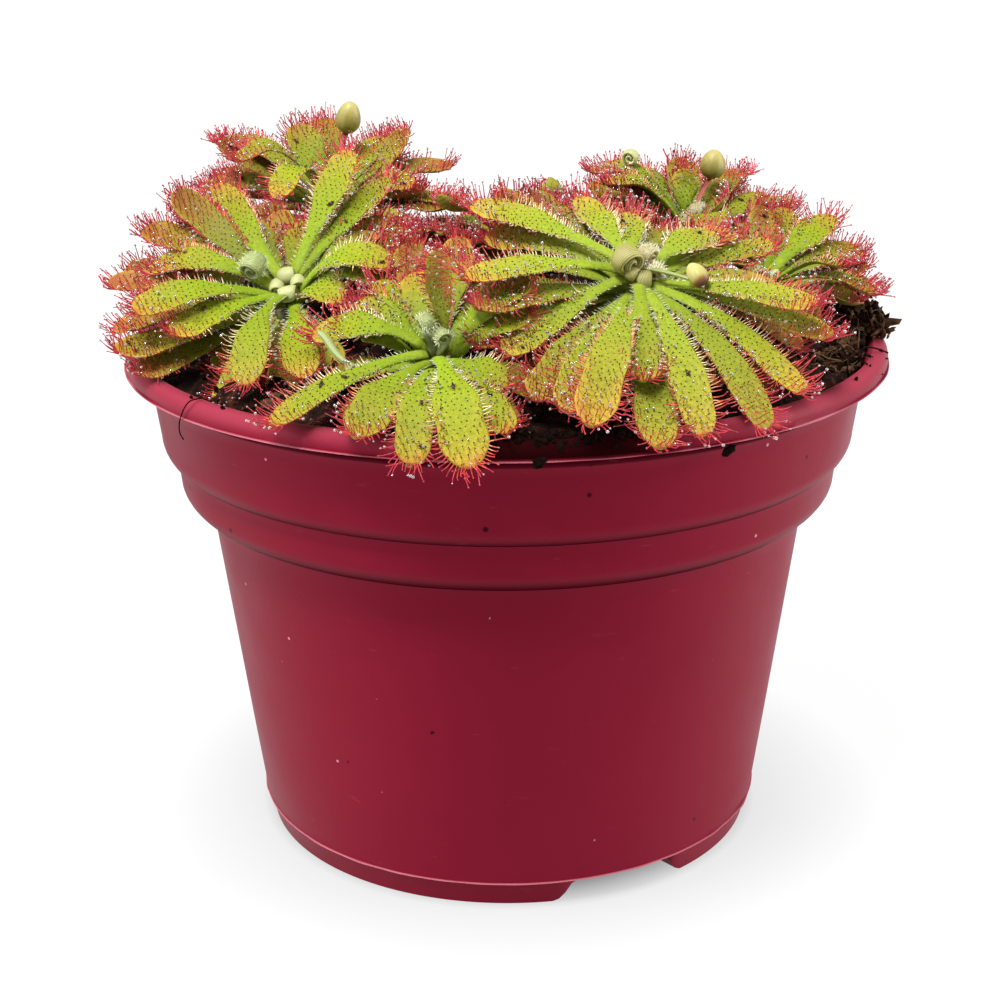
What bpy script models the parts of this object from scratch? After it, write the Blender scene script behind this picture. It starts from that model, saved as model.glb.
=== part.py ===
"""A sundew in a plastic nursery pot, as closed solids in metres, +Z up.

The origin is on the pot's axis at the underside of its feet. +Y points to the back, so the side
that is seen first faces -Y. The pot, the peat in it and each rosette of leaves are one object each.
"""
import math

import bmesh
import bpy
from mathutils import Matrix, Vector

MM = 0.001

# Gap between pieces that touch, because mesh coordinates are 32-bit numbers.
TOUCH_GAP = 0.3

# Pot, in mm: radii and heights of the outside, from the feet up.
POT_SIDES = 48
WALL = 1.0
FOOT_HEIGHT = 3.0
FOOT_RADIUS = 30.1
FOOT_INNER_RADIUS = 27.4
FOOT_SINK = 0.6
FOOT_SUNK_RADIUS = 30.9
FOOT_ARC = 88.0
FOOT_END_SLANT = 4.0
FOOT_STEPS = 10
FIRST_FOOT_ANGLE = -4.0
FOOT_COUNT = 3
BASE_THICKNESS = 1.2
BODY_FOOT_RADIUS = 30.95
BODY_TOP_RADIUS = 35.95
BODY_TOP_HEIGHT = 41.1
BAND_RADIUS = 39.35
BAND_BOTTOM = 44.3
BAND_TOP_RADIUS = 39.65
BAND_TOP_HEIGHT = 47.3
COLLAR_RADIUS = 41.35
COLLAR_BOTTOM = 50.0
COLLAR_TOP_RADIUS = 42.25
COLLAR_TOP_HEIGHT = 56.7
LIP_RADIUS = 45.0
LIP_MIDDLE_HEIGHT = 58.85
LIP_TOP_HEIGHT = 60.2
LIP_INNER_RADIUS = 43.0
DRAIN_RADIUS = 3.0
DRAIN_CIRCLE = 17.0
DRAIN_COUNT = 6
DRAIN_SIDES = 16

# Peat, in mm.
SOIL_SIDES = POT_SIDES
SOIL_RINGS = 6
SOIL_EDGE_HEIGHT = 59.2
SOIL_DOME = 6.0
MOUND_PLACE = (38.0, 4.0)
MOUND_HEIGHT = 3.2
MOUND_SPREAD = 7.0
SOIL_ROUGHNESS = 0.45
HOLE_BOTTOM = 54.0

# Leaves, in mm. Fractions run along a leaf from its root to the tip of its blade.
BLADE_THICKNESS = 0.6
PETIOLE_WIDTH = 1.7
LEAF_WIDTH = 5.3
STATIONS = (0.0, 0.30, 0.50, 0.65, 0.79, 0.90, 0.97, 1.0)
FIRST_TENTACLE = 2
WIDEST = 0.74
TIP_WIDTH_SHARE = 0.34
SHORT_TENTACLE = 1.1
LONG_TENTACLE = 2.9
TENTACLE_LIFT = 0.45
ROOT_RADIUS = 1.2
SPREAD_AT_PETIOLE = 80.0
SPREAD_AT_TIP = 20.0
LAYER_DROP = 3.4
STEM_RADIUS = 1.7
STEM_SIDES = 8
CROWN_RADIUS = 2.2

# Rosettes. crown is the place of the growing point in mm; each faces outward from the clump, tilted
# by tilt degrees towards the compass angle toward (0 is +X, 90 is +Y). Its leaves run from the
# youngest layer to the oldest, each as (angle, reach, rise, arch) in the rosette's own tilted
# frame: degrees round the crown, then mm outward, up to the blade's tip, and of extra height
# half way. A fifth value is the blade's width where it isn't LEAF_WIDTH.
# buds are (along X, along Y, along Z, width, length) in mm from the crown, in that same frame.
ROSETTES = {
    "rosette_left": {
        "crown": (-24.4, -14.0, 69.2), "tilt": 30, "toward": -115,
        "leaves": (
            (63, 18.0, 4.2, 0.5), (49, 18.5, 0.6, 1.0), (116, 18.9, 2.2, 1.0), (-100, 18.5, 2.0, 2.5),
            (-150, 14.1, 3.8, 2.0), (160, 17.0, 0.5, 3.5), (-14, 13.1, 1.9, 3.2), (-160, 16.6, 4.0, 2.5),
            (-18, 15.0, -1.2, 3.5), (-44, 9.0, 0.6, 2.0, 4.6), (-82, 17.2, 0.4, 1.6),
            (-162, 20.5, 0.5, 3.0), (130, 18.1, 2.5, 1.5), (-154, 20.3, 0.0, 3.0),
            (146, 19.8, 2.0, 2.5), (132, 19.6, 4.5, 2.0), (85, 14.0, -3.0, 1.5),
        ),
        "buds": ((0.3, 1.7, 1.0, 2.4, 2.4), (-1.5, 0.2, 0.8, 2.0, 2.4), (0.2, -1.4, 0.8, 2.2, 3.0),
                 (1.5, 0.2, 0.6, 1.9, 2.4), (-3.4, 1.6, 2.0, 3.0, 3.2)),
    },
    "rosette_centre": {
        "crown": (14.2, -21.0, 72.3), "tilt": 24, "toward": -85,
        "leaves": (
            (152, 20.5, 0.3, 1.5), (-164, 19.4, 2.0, 3.0), (-142, 17.4, -2.8, 1.5), (-92, 14.5, -3.7, 2.0),
            (92, 11.9, -1.5, 0.5, 4.4), (115, 14.5, -0.9, 1.0, 4.4), (40, 11.9, -1.5, 1.5),
            (-29, 22.5, -0.5, 2.5), (-77, 24.7, -2.7, 3.0), (-45, 23.2, -3.9, 2.5),
            (30, 18.2, -3.3, 1.5), (-31, 20.4, 2.9, 2.0), (-60, 24.5, -4.3, 3.5), (-107, 23.5, -1.1, 2.5),
            (159, 17.8, -2.6, 2.5), (-154, 19.5, -0.4, 2.0), (-118, 24.0, 0.6, 2.5),
            (-153, 19.2, -3.4, 2.5), (-88, 26.8, -2.9, 4.5), (-103, 27.5, -0.9, 3.5),
        ),
        "buds": ((-1.2, 0.4, 1.0, 3.0, 4.2), (1.2, 1.2, 1.2, 2.4, 3.4), (0.4, -1.2, 0.6, 2.6, 3.4),
                 (1.9, -0.4, 0.8, 2.4, 3.0), (7.2, -1.0, 1.4, 2.7, 3.4)),
    },
    "rosette_front": {
        "crown": (-7.5, -31.0, 66.4), "tilt": 25, "toward": -100,
        "leaves": (
            (165, 13.5, -1.0, 2.0), (-148, 19.3, -0.6, 2.0), (-79, 18.1, -0.9, 4.0, 5.9),
            (-117, 14.9, 0.3, 2.5), (-37, 9.0, -0.4, 1.5), (140, 11.0, 0.1, 1.5, 4.6),
            (-97, 16.9, -0.8, 4.0, 4.6), (-61, 14.0, 0.0, 2.0, 4.6), (-150, -3.4, 11.3, 0.0, 4.6),
        ),
        "buds": ((-0.6, 1.0, 1.6, 2.0, 3.6), (0.8, 0.2, 0.8, 1.8, 2.6)),
    },
    "rosette_back_right": {
        "crown": (23.1, 13.0, 70.3), "tilt": 12, "toward": -80,
        "leaves": (
            (-170, 3.0, 7.0, 0.0), (-170, 11.0, 4.8, 3.0), (159, 13.6, 3.3, 4.0), (-24, 4.3, 4.2, 0.5, 4.4),
            (-75, 6.9, 1.2, 3.0), (95, 11.0, 4.8, 1.0), (54, 12.8, 2.0, 2.5), (125, 14.0, 1.5, 3.0),
            (28, 14.0, -1.0, 3.0), (105, 17.0, -2.5, 3.5), (140, 17.0, -3.0, 3.0), (68, 17.0, -3.0, 3.0),
        ),
        "buds": ((1.6, 4.6, 7.4, 3.2, 3.9), (-8.0, 4.0, 6.4, 1.8, 3.4), (0.0, 0.0, 1.0, 2.4, 3.0)),
    },
    "rosette_back_left": {
        "crown": (-21.5, 18.0, 73.1), "tilt": 15, "toward": -110,
        "leaves": (
            (-160, 11.3, 6.3, 5.0), (-122, 11.7, 2.9, 5.5), (156, 15.8, 6.3, 3.0), (117, 10.1, 6.4, 1.5),
            (58, 11.2, 4.2, 1.5), (45, 11.0, 0.5, 2.0), (-29, 11.9, 1.8, 3.0), (-44, 8.6, -2.5, 2.0),
            (95, 15.0, 1.5, 2.5), (72, 16.5, -1.0, 3.0), (175, 17.0, 1.0, 3.0), (118, 18.0, -1.5, 3.5),
            (148, 19.0, -1.0, 3.0),
        ),
        "buds": ((0.6, 6.0, 9.2, 3.0, 3.8), (0.0, 0.0, 1.0, 2.4, 3.0)),
    },
    "rosette_right": {
        "crown": (30.1, -2.0, 67.0), "tilt": 20, "toward": -30,
        "leaves": (
            (52, 11.6, 5.8, 1.5), (-37, 8.6, 5.1, 2.0, 4.6), (-28, 13.2, 3.0, 2.5), (28, 12.5, 3.7, 2.0),
            (101, 8.7, 4.8, 1.0, 4.4), (78, 9.9, 4.8, 1.5, 4.4), (5, 14.0, 1.0, 2.5), (70, 13.5, 0.5, 2.0),
            (-60, 10.0, 1.0, 2.0),
        ),
        "buds": ((0.8, 0.4, 1.2, 1.5, 2.0), (-0.4, -0.6, 0.8, 1.8, 2.2)),
    },
    "rosette_middle": {
        "crown": (1.5, 16.0, 68.5), "tilt": 12, "toward": 90,
        "leaves": (
            (-126, 16.0, 2.5, 1.5), (-66, 12.0, 5.9, 1.0), (105, 18.0, 1.5, 2.5), (175, 11.0, 0.0, 1.5),
            (-6, 12.0, -1.0, 2.5), (62, 20.0, -0.5, 3.5), (128, 20.0, -0.5, 3.5), (88, 30.0, -0.5, 3.0),
            (-97, 19.0, -0.5, 3.0),
        ),
        "buds": ((0.0, 0.0, 1.2, 2.6, 3.0),),
    },
}


def clear_scene():
    for old in list(bpy.data.objects):
        bpy.data.objects.remove(old, do_unlink=True)


def material(name, colour, roughness):
    made = bpy.data.materials.new(name)
    made.use_nodes = True
    shader = made.node_tree.nodes["Principled BSDF"]
    shader.inputs["Base Color"].default_value = (*colour, 1.0)
    shader.inputs["Roughness"].default_value = roughness
    shader.inputs["Metallic"].default_value = 0.0
    return made


def object_from(name, mesh_data, finish):
    """Make an object from a bmesh that was built in mm."""
    bmesh.ops.scale(mesh_data, vec=(MM, MM, MM), verts=mesh_data.verts)
    bmesh.ops.recalc_face_normals(mesh_data, faces=mesh_data.faces)
    mesh = bpy.data.meshes.new(name)
    mesh_data.to_mesh(mesh)
    mesh_data.free()
    mesh.materials.append(finish)
    made = bpy.data.objects.new(name, mesh)
    bpy.context.scene.collection.objects.link(made)
    return made


def apply_modifiers(target):
    evaluated = target.evaluated_get(bpy.context.evaluated_depsgraph_get())
    final = bpy.data.meshes.new_from_object(evaluated)
    target.modifiers.clear()
    target.data = final


def combine(target, tools, operation):
    """Join tools to target, or cut them out of it, in one Boolean, and remove them."""
    group = bpy.data.collections.new(target.name + "_tools")
    bpy.context.scene.collection.children.link(group)
    for tool in tools:
        bpy.context.scene.collection.objects.unlink(tool)
        group.objects.link(tool)
    step = target.modifiers.new("combine", "BOOLEAN")
    step.operation = operation
    step.operand_type = "COLLECTION"
    step.collection = group
    step.solver = "EXACT"
    step.use_self = operation == "UNION"
    apply_modifiers(target)
    for tool in tools:
        bpy.data.objects.remove(tool, do_unlink=True)
    bpy.data.collections.remove(group)


def keep_outer_skin(target):
    """Drop loose scraps and fill sealed hollows, which are the smaller shells of the mesh."""
    mesh_data = bmesh.new()
    mesh_data.from_mesh(target.data)
    unseen = set(mesh_data.verts)
    shells = []
    while unseen:
        start = unseen.pop()
        shell = {start}
        front = [start]
        while front:
            for edge in front.pop().link_edges:
                for vert in edge.verts:
                    if vert in unseen:
                        unseen.remove(vert)
                        shell.add(vert)
                        front.append(vert)
        shells.append(shell)
    largest = max(shells, key=len)
    scraps = [vert for shell in shells if shell is not largest for vert in shell]
    bmesh.ops.delete(mesh_data, geom=scraps, context="VERTS")
    mesh_data.to_mesh(target.data)
    mesh_data.free()


def shade(target, angle_degrees):
    target.data.shade_smooth()
    target.data.set_sharp_from_angle(angle=math.radians(angle_degrees))


def turned(profile, sides):
    """A closed solid turned round Z from (radius, height) points that start and end on the axis."""
    mesh_data = bmesh.new()
    rings = []
    for radius, height in profile:
        if radius == 0.0:
            rings.append([mesh_data.verts.new((0.0, 0.0, height))])
            continue
        ring = []
        for step in range(sides):
            angle = 2.0 * math.pi * step / sides
            ring.append(mesh_data.verts.new((radius * math.cos(angle), radius * math.sin(angle), height)))
        rings.append(ring)
    for lower, upper in zip(rings, rings[1:]):
        for step in range(sides):
            following = (step + 1) % sides
            if len(lower) == 1:
                mesh_data.faces.new((lower[0], upper[step], upper[following]))
            elif len(upper) == 1:
                mesh_data.faces.new((lower[step], lower[following], upper[0]))
            else:
                mesh_data.faces.new((lower[step], lower[following], upper[following], upper[step]))
    return mesh_data


def rounded_edge(low, high, steps):
    """Points of a convex rounded under-edge from a low inner point up to a high outer point."""
    points = []
    for step in range(steps + 1):
        angle = math.radians(15.0 + 75.0 * step / steps)
        start = math.sin(math.radians(15.0))
        share_out = (math.sin(angle) - start) / (1.0 - start)
        share_up = (math.cos(math.radians(15.0)) - math.cos(angle)) / math.cos(math.radians(15.0))
        points.append((low[0] + (high[0] - low[0]) * share_out, low[1] + (high[1] - low[1]) * share_up))
    return points


def pot_outside():
    """The outside wall from the top of the feet to the top of the lip."""
    points = [(BODY_FOOT_RADIUS, FOOT_HEIGHT)]
    points += rounded_edge((BODY_TOP_RADIUS, BODY_TOP_HEIGHT), (BAND_RADIUS, BAND_BOTTOM), 3)
    points += rounded_edge((BAND_TOP_RADIUS, BAND_TOP_HEIGHT), (COLLAR_RADIUS, COLLAR_BOTTOM), 3)
    points.append((COLLAR_TOP_RADIUS, COLLAR_TOP_HEIGHT))
    points += [(COLLAR_TOP_RADIUS + 1.6, COLLAR_TOP_HEIGHT + 0.9), (LIP_RADIUS - 0.25, LIP_MIDDLE_HEIGHT - 0.7)]
    points += [(LIP_RADIUS, LIP_MIDDLE_HEIGHT), (LIP_RADIUS - 0.35, LIP_TOP_HEIGHT - 0.45)]
    points.append((LIP_RADIUS - 1.0, LIP_TOP_HEIGHT))
    return points


def inner_radius(height):
    """Radius of the pot's inner wall at a height, a wall thickness inside the outside wall."""
    points = ((BODY_FOOT_RADIUS, FOOT_HEIGHT), (BODY_TOP_RADIUS, BODY_TOP_HEIGHT), (BAND_RADIUS, BAND_BOTTOM),
              (BAND_TOP_RADIUS, BAND_TOP_HEIGHT), (COLLAR_RADIUS, COLLAR_BOTTOM),
              (COLLAR_TOP_RADIUS, COLLAR_TOP_HEIGHT), (LIP_INNER_RADIUS + WALL, LIP_TOP_HEIGHT))
    for (low_radius, low), (high_radius, high) in zip(points, points[1:]):
        if height <= high:
            share = (height - low) / (high - low)
            return low_radius + (high_radius - low_radius) * share - WALL
    return LIP_INNER_RADIUS


def inner_heights():
    """Heights at which the inner wall changes slope, from the floor to below the lip."""
    return (FOOT_HEIGHT + BASE_THICKNESS, BODY_TOP_HEIGHT + 0.6, BAND_BOTTOM + 0.4, COLLAR_BOTTOM + 0.4,
            COLLAR_TOP_HEIGHT)


def foot(angle_degrees):
    """One arc of the foot ring, with slanted ends, sunk into the base."""
    mesh_data = bmesh.new()
    top = FOOT_HEIGHT + FOOT_SINK
    section = ((FOOT_INNER_RADIUS, 0.0, FOOT_END_SLANT), (FOOT_RADIUS, 0.0, FOOT_END_SLANT),
               (FOOT_SUNK_RADIUS, top, 0.0), (FOOT_INNER_RADIUS, top, 0.0))
    rows = []
    for step in range(FOOT_STEPS + 1):
        share = step / FOOT_STEPS - 0.5
        row = []
        for radius, height, slant in section:
            angle = math.radians(angle_degrees + share * (FOOT_ARC - 2.0 * slant))
            row.append(mesh_data.verts.new((radius * math.cos(angle), radius * math.sin(angle), height)))
        rows.append(row)
    count = len(section)
    for row, following in zip(rows, rows[1:]):
        for corner in range(count):
            other = (corner + 1) % count
            mesh_data.faces.new((row[corner], row[other], following[other], following[corner]))
    mesh_data.faces.new(rows[0])
    mesh_data.faces.new(rows[-1])
    bmesh.ops.triangulate(mesh_data, faces=mesh_data.faces)
    return mesh_data


def drain_hole(angle_degrees, finish):
    angle = math.radians(angle_degrees)
    place = (DRAIN_CIRCLE * math.cos(angle), DRAIN_CIRCLE * math.sin(angle), FOOT_HEIGHT)
    mesh_data = bmesh.new()
    bmesh.ops.create_cone(mesh_data, cap_ends=True, segments=DRAIN_SIDES, radius1=DRAIN_RADIUS,
                          radius2=DRAIN_RADIUS, depth=4.0 * BASE_THICKNESS, matrix=Matrix.Translation(place))
    return object_from("drain_cutter", mesh_data, finish)


def build_pot(finish):
    floor = FOOT_HEIGHT + BASE_THICKNESS
    profile = [(0.0, FOOT_HEIGHT)]
    profile += pot_outside()
    profile.append((LIP_INNER_RADIUS, LIP_TOP_HEIGHT - 0.1))
    for height in reversed(inner_heights()):
        profile.append((inner_radius(height), height))
    profile.append((0.0, floor))
    pot = object_from("pot", turned(profile, POT_SIDES), finish)
    feet = []
    for number in range(FOOT_COUNT):
        angle = FIRST_FOOT_ANGLE + 360.0 * number / FOOT_COUNT
        feet.append(object_from("foot_tool", foot(angle), finish))
    combine(pot, feet, "UNION")
    holes = [drain_hole(360.0 * number / DRAIN_COUNT, finish) for number in range(DRAIN_COUNT)]
    combine(pot, holes, "DIFFERENCE")
    shade(pot, 30.0)
    return pot


def soil_height(x, y):
    """Height of the peat: a low dome with a mound at the right and small unevenness."""
    radius_share = math.hypot(x, y) / inner_radius(SOIL_EDGE_HEIGHT)
    dome = SOIL_DOME * (1.0 - radius_share ** 2)
    distance = math.hypot(x - MOUND_PLACE[0], y - MOUND_PLACE[1])
    mound = MOUND_HEIGHT * math.exp(-((distance / MOUND_SPREAD) ** 2))
    rough = math.sin(0.55 * x + 1.3) * math.cos(0.62 * y - 0.4) + 0.6 * math.sin(1.1 * x - 0.9 * y)
    return SOIL_EDGE_HEIGHT + dome + mound + SOIL_ROUGHNESS * rough


def build_soil(finish):
    edge_radius = inner_radius(SOIL_EDGE_HEIGHT) - TOUCH_GAP
    mesh_data = bmesh.new()
    top_centre = mesh_data.verts.new((0.0, 0.0, soil_height(0.0, 0.0)))
    rings = []
    for number in range(1, SOIL_RINGS + 1):
        radius = edge_radius * number / SOIL_RINGS
        ring = []
        for step in range(SOIL_SIDES):
            angle = 2.0 * math.pi * step / SOIL_SIDES
            x = radius * math.cos(angle)
            y = radius * math.sin(angle)
            ring.append(mesh_data.verts.new((x, y, soil_height(x, y))))
        rings.append(ring)
    for height in reversed(inner_heights()):
        radius = inner_radius(height) - TOUCH_GAP
        lift = TOUCH_GAP if height == inner_heights()[0] else 0.0
        ring = []
        for step in range(SOIL_SIDES):
            angle = 2.0 * math.pi * step / SOIL_SIDES
            ring.append(mesh_data.verts.new((radius * math.cos(angle), radius * math.sin(angle), height + lift)))
        rings.append(ring)
    bottom_centre = mesh_data.verts.new((0.0, 0.0, inner_heights()[0] + TOUCH_GAP))
    for step in range(SOIL_SIDES):
        following = (step + 1) % SOIL_SIDES
        mesh_data.faces.new((top_centre, rings[0][step], rings[0][following]))
        mesh_data.faces.new((bottom_centre, rings[-1][following], rings[-1][step]))
        for inner, outer in zip(rings, rings[1:]):
            mesh_data.faces.new((inner[step], outer[step], outer[following]))
            mesh_data.faces.new((inner[step], outer[following], inner[following]))
    soil = object_from("soil", mesh_data, finish)
    holes = []
    for plan in ROSETTES.values():
        x, y, _ = plan["crown"]
        hole = bmesh.new()
        top = soil_height(x, y) + 5.0
        bmesh.ops.create_cone(hole, cap_ends=True, segments=STEM_SIDES, radius1=STEM_RADIUS + TOUCH_GAP * 1.1,
                              radius2=STEM_RADIUS + TOUCH_GAP * 1.1, depth=top - HOLE_BOTTOM,
                              matrix=Matrix.Translation((x, y, (top + HOLE_BOTTOM) / 2.0)))
        holes.append(object_from("stem_hole", hole, finish))
    combine(soil, holes, "DIFFERENCE")
    shade(soil, 40.0)
    return soil


def blade_half_width(share, width):
    """Half the width of a spatula-shaped leaf at a share of its length."""
    narrow = PETIOLE_WIDTH / 2.0
    wide = width / 2.0
    if share < WIDEST:
        rise = min(max((share - 0.18) / (WIDEST - 0.18), 0.0), 1.0)
        return narrow + (wide - narrow) * rise * rise * (3.0 - 2.0 * rise)
    end = (share - WIDEST) / (1.0 - WIDEST)
    return wide * math.sqrt(1.0 - (1.0 - TIP_WIDTH_SHARE ** 2) * end * end)


def leaf_line(plan, number, leaf):
    """Centre points, side direction and up directions of one leaf, in the rosette's frame."""
    angle, reach, rise, arch = leaf[:4]
    heading = Vector((math.cos(math.radians(angle)), math.sin(math.radians(angle)), 0.0))
    side = Vector((-heading.y, heading.x, 0.0))
    drop = LAYER_DROP * number / max(len(plan["leaves"]) - 1, 1)
    root = heading * ROOT_RADIUS + Vector((0.0, 0.0, -drop))
    tip = heading * reach + Vector((0.0, 0.0, rise))
    points = []
    ups = []
    for share in STATIONS:
        points.append(root.lerp(tip, share) + Vector((0.0, 0.0, arch * 4.0 * share * (1.0 - share))))
        slope = (tip - root) + Vector((0.0, 0.0, arch * 4.0 * (1.0 - 2.0 * share)))
        ups.append(slope.cross(side).normalized())
    return points, side, ups


def add_leaf(plan, number, leaf):
    """One thin leaf whose tentacles are cut as teeth in its outline."""
    width = leaf[4] if len(leaf) > 4 else LEAF_WIDTH
    points, side, ups = leaf_line(plan, number, leaf)
    mesh_data = bmesh.new()
    half = BLADE_THICKNESS / 2.0

    def pair(place, up):
        return mesh_data.verts.new(place + up * half), mesh_data.verts.new(place - up * half)

    def skin(first, second, third):
        mesh_data.faces.new((first[0], second[0], third[0]))
        mesh_data.faces.new((first[1], third[1], second[1]))

    def wall(first, second):
        mesh_data.faces.new((first[0], first[1], second[1]))
        mesh_data.faces.new((first[0], second[1], second[0]))

    last = len(STATIONS) - 1
    margins = {}
    for hand in (1.0, -1.0):
        margins[hand] = []
        for share, point, up in zip(STATIONS, points, ups):
            margins[hand].append(pair(point + side * hand * blade_half_width(share, width), up))
    left = margins[1.0]
    right = margins[-1.0]
    for index in range(last):
        skin(left[index], right[index], right[index + 1])
        skin(left[index], right[index + 1], left[index + 1])

    def tooth(first, second, hand, spread, up, length):
        """A tentacle that stands out from one stretch of the margin and curls up a little."""
        middle = (first[0].co + first[1].co + second[0].co + second[1].co) / 4.0
        lean = side * hand * math.sin(math.radians(spread)) + side.cross(up) * math.cos(math.radians(spread))
        tip = mesh_data.verts.new(middle + lean * length + up * length * TENTACLE_LIFT)
        skin(first, second, (tip, tip))
        mesh_data.faces.new((first[0], first[1], tip))
        mesh_data.faces.new((second[1], second[0], tip))

    for hand in (1.0, -1.0):
        for index in range(last):
            first, second = margins[hand][index:index + 2]
            if index < FIRST_TENTACLE:
                wall(first, second)
                continue
            share = (index - FIRST_TENTACLE) / (last - FIRST_TENTACLE)
            length = SHORT_TENTACLE + (LONG_TENTACLE - SHORT_TENTACLE) * share
            spread = SPREAD_AT_PETIOLE + (SPREAD_AT_TIP - SPREAD_AT_PETIOLE) * share
            tooth(first, second, hand, spread, ups[index], length)
    tooth(left[last], right[last], 0.0, 0.0, ups[last], LONG_TENTACLE)
    wall(left[0], right[0])
    place_in_rosette(mesh_data, plan)
    return mesh_data


def rosette_matrix(plan):
    """Tilt of a rosette's own frame, and the place of its crown."""
    toward = math.radians(plan["toward"])
    axis = Vector((-math.sin(toward), math.cos(toward), 0.0))
    return Matrix.Translation(plan["crown"]) @ Matrix.Rotation(math.radians(plan["tilt"]), 4, axis)


def place_in_rosette(mesh_data, plan):
    bmesh.ops.transform(mesh_data, matrix=rosette_matrix(plan), verts=mesh_data.verts)


def add_stem(plan):
    """The short upright stem from its hole in the peat to just under the crown."""
    x, y, z = plan["crown"]
    bottom = HOLE_BOTTOM + TOUCH_GAP
    top = z - 0.6
    mesh_data = bmesh.new()
    bmesh.ops.create_cone(mesh_data, cap_ends=True, segments=STEM_SIDES, radius1=STEM_RADIUS,
                          radius2=STEM_RADIUS, depth=top - bottom,
                          matrix=Matrix.Translation((x, y, (top + bottom) / 2.0)))
    return mesh_data


def add_crown(plan):
    """The lump at the growing point that all leaves grow from."""
    mesh_data = bmesh.new()
    shape = Matrix.Translation((0.0, 0.0, -LAYER_DROP / 2.0)) @ Matrix.Diagonal((1.0, 1.0, 1.3, 1.0))
    bmesh.ops.create_icosphere(mesh_data, subdivisions=1, radius=CROWN_RADIUS, matrix=shape)
    place_in_rosette(mesh_data, plan)
    return mesh_data


def add_bud(plan, bud):
    """A rolled young leaf: an egg on a stalk that starts in the crown."""
    place = Vector(bud[:3])
    width, length = bud[3:]
    mesh_data = bmesh.new()
    direction = place.normalized()
    turn = Vector((0.0, 0.0, 1.0)).rotation_difference(direction).to_matrix().to_4x4()
    shape = Matrix.Translation(place) @ turn @ Matrix.Diagonal((width / 2.0, width / 2.0, length / 2.0, 1.0))
    bmesh.ops.create_icosphere(mesh_data, subdivisions=2 if width > 2.5 else 1, radius=1.0, matrix=shape)
    place_in_rosette(mesh_data, plan)
    return mesh_data


def add_stalk(plan, bud):
    place = Vector(bud[:3])
    root = Vector((0.0, 0.0, -LAYER_DROP / 2.0))
    run = place - root
    turn = Vector((0.0, 0.0, 1.0)).rotation_difference(run.normalized()).to_matrix().to_4x4()
    mesh_data = bmesh.new()
    bmesh.ops.create_cone(mesh_data, cap_ends=True, segments=5, radius1=0.7, radius2=0.6, depth=run.length,
                          matrix=Matrix.Translation((root + place) / 2.0) @ turn)
    place_in_rosette(mesh_data, plan)
    return mesh_data


def build_rosette(name, plan, finish):
    rosette = object_from(name, add_stem(plan), finish)
    pieces = [add_crown(plan)]
    for number, leaf in enumerate(plan["leaves"]):
        pieces.append(add_leaf(plan, number, leaf))
    for bud in plan["buds"]:
        pieces.append(add_bud(plan, bud))
        if Vector(bud[:3]).length > 2.6:
            pieces.append(add_stalk(plan, bud))
    tools = [object_from(name + "_piece", piece, finish) for piece in pieces]
    combine(rosette, tools, "UNION")
    keep_outer_skin(rosette)
    shade(rosette, 30.0)
    return rosette


def main():
    clear_scene()
    build_pot(material("burgundy_plastic", (0.26, 0.012, 0.03), 0.42))
    build_soil(material("dark_peat", (0.018, 0.010, 0.007), 0.95))
    leaf_green = material("sundew_green", (0.36, 0.47, 0.04), 0.45)
    for name, plan in ROSETTES.items():
        build_rosette(name, plan, leaf_green)


main()
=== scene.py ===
"""Looks of the potted sundew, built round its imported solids.

The leaves keep close to the solids' own table, and get cupped blades, rows of glands, red marginal
tentacles with droplets, fine hairs and coiled young leaves. Lengths are in mm, and become metres
only where a mesh is made. Those of materials, lights and the floor are in metres.
"""
import math

import bmesh
import bpy
import numpy as np
from mathutils import Matrix, Vector, noise


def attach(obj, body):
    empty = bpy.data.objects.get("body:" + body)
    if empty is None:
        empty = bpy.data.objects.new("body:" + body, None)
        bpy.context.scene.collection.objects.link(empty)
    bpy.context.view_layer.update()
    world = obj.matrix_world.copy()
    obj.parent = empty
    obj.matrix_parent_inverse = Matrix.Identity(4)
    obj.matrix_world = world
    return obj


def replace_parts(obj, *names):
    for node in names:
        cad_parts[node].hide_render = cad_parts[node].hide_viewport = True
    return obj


MM = 0.001
SEED = 20
UPWARD = np.array([0.0, 0.0, 1.0])

# Camera, in mm and degrees, at the photograph's viewing angle.
CAMERA_PLACE = (0.0, -231.1, 118.0)
CAMERA_YAW = -0.224
CAMERA_PITCH = 18.91
CAMERA_ROLL = -0.40
CAMERA_LENS = 71.42
SENSOR_WIDTH = 36.0
CLIP_START = 0.01

# Light and floor, in metres. A light is (name, place, size, power), and a glow of the floor is
# (distance from the pot's axis where it starts, where it is full, strength).
WORLD_GLOW = 0.27
LIGHT_TARGET = (0.0, 0.0, 0.05)
LIGHTS = (("top_box", (-0.14, -0.24, 0.58), (0.20, 0.16), 5.4),
          ("left_box", (-0.55, -0.12, 0.24), (0.30, 0.45), 2.5),
          ("right_box", (0.60, -0.06, 0.22), (0.30, 0.45), 4.2))
FLOOR_HALF_SIZE = 6.0
FLOOR_GLOWS = ((0.026, 0.0315, 0.50), (0.0315, 0.048, 0.175), (0.048, 0.13, 0.045))

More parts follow.
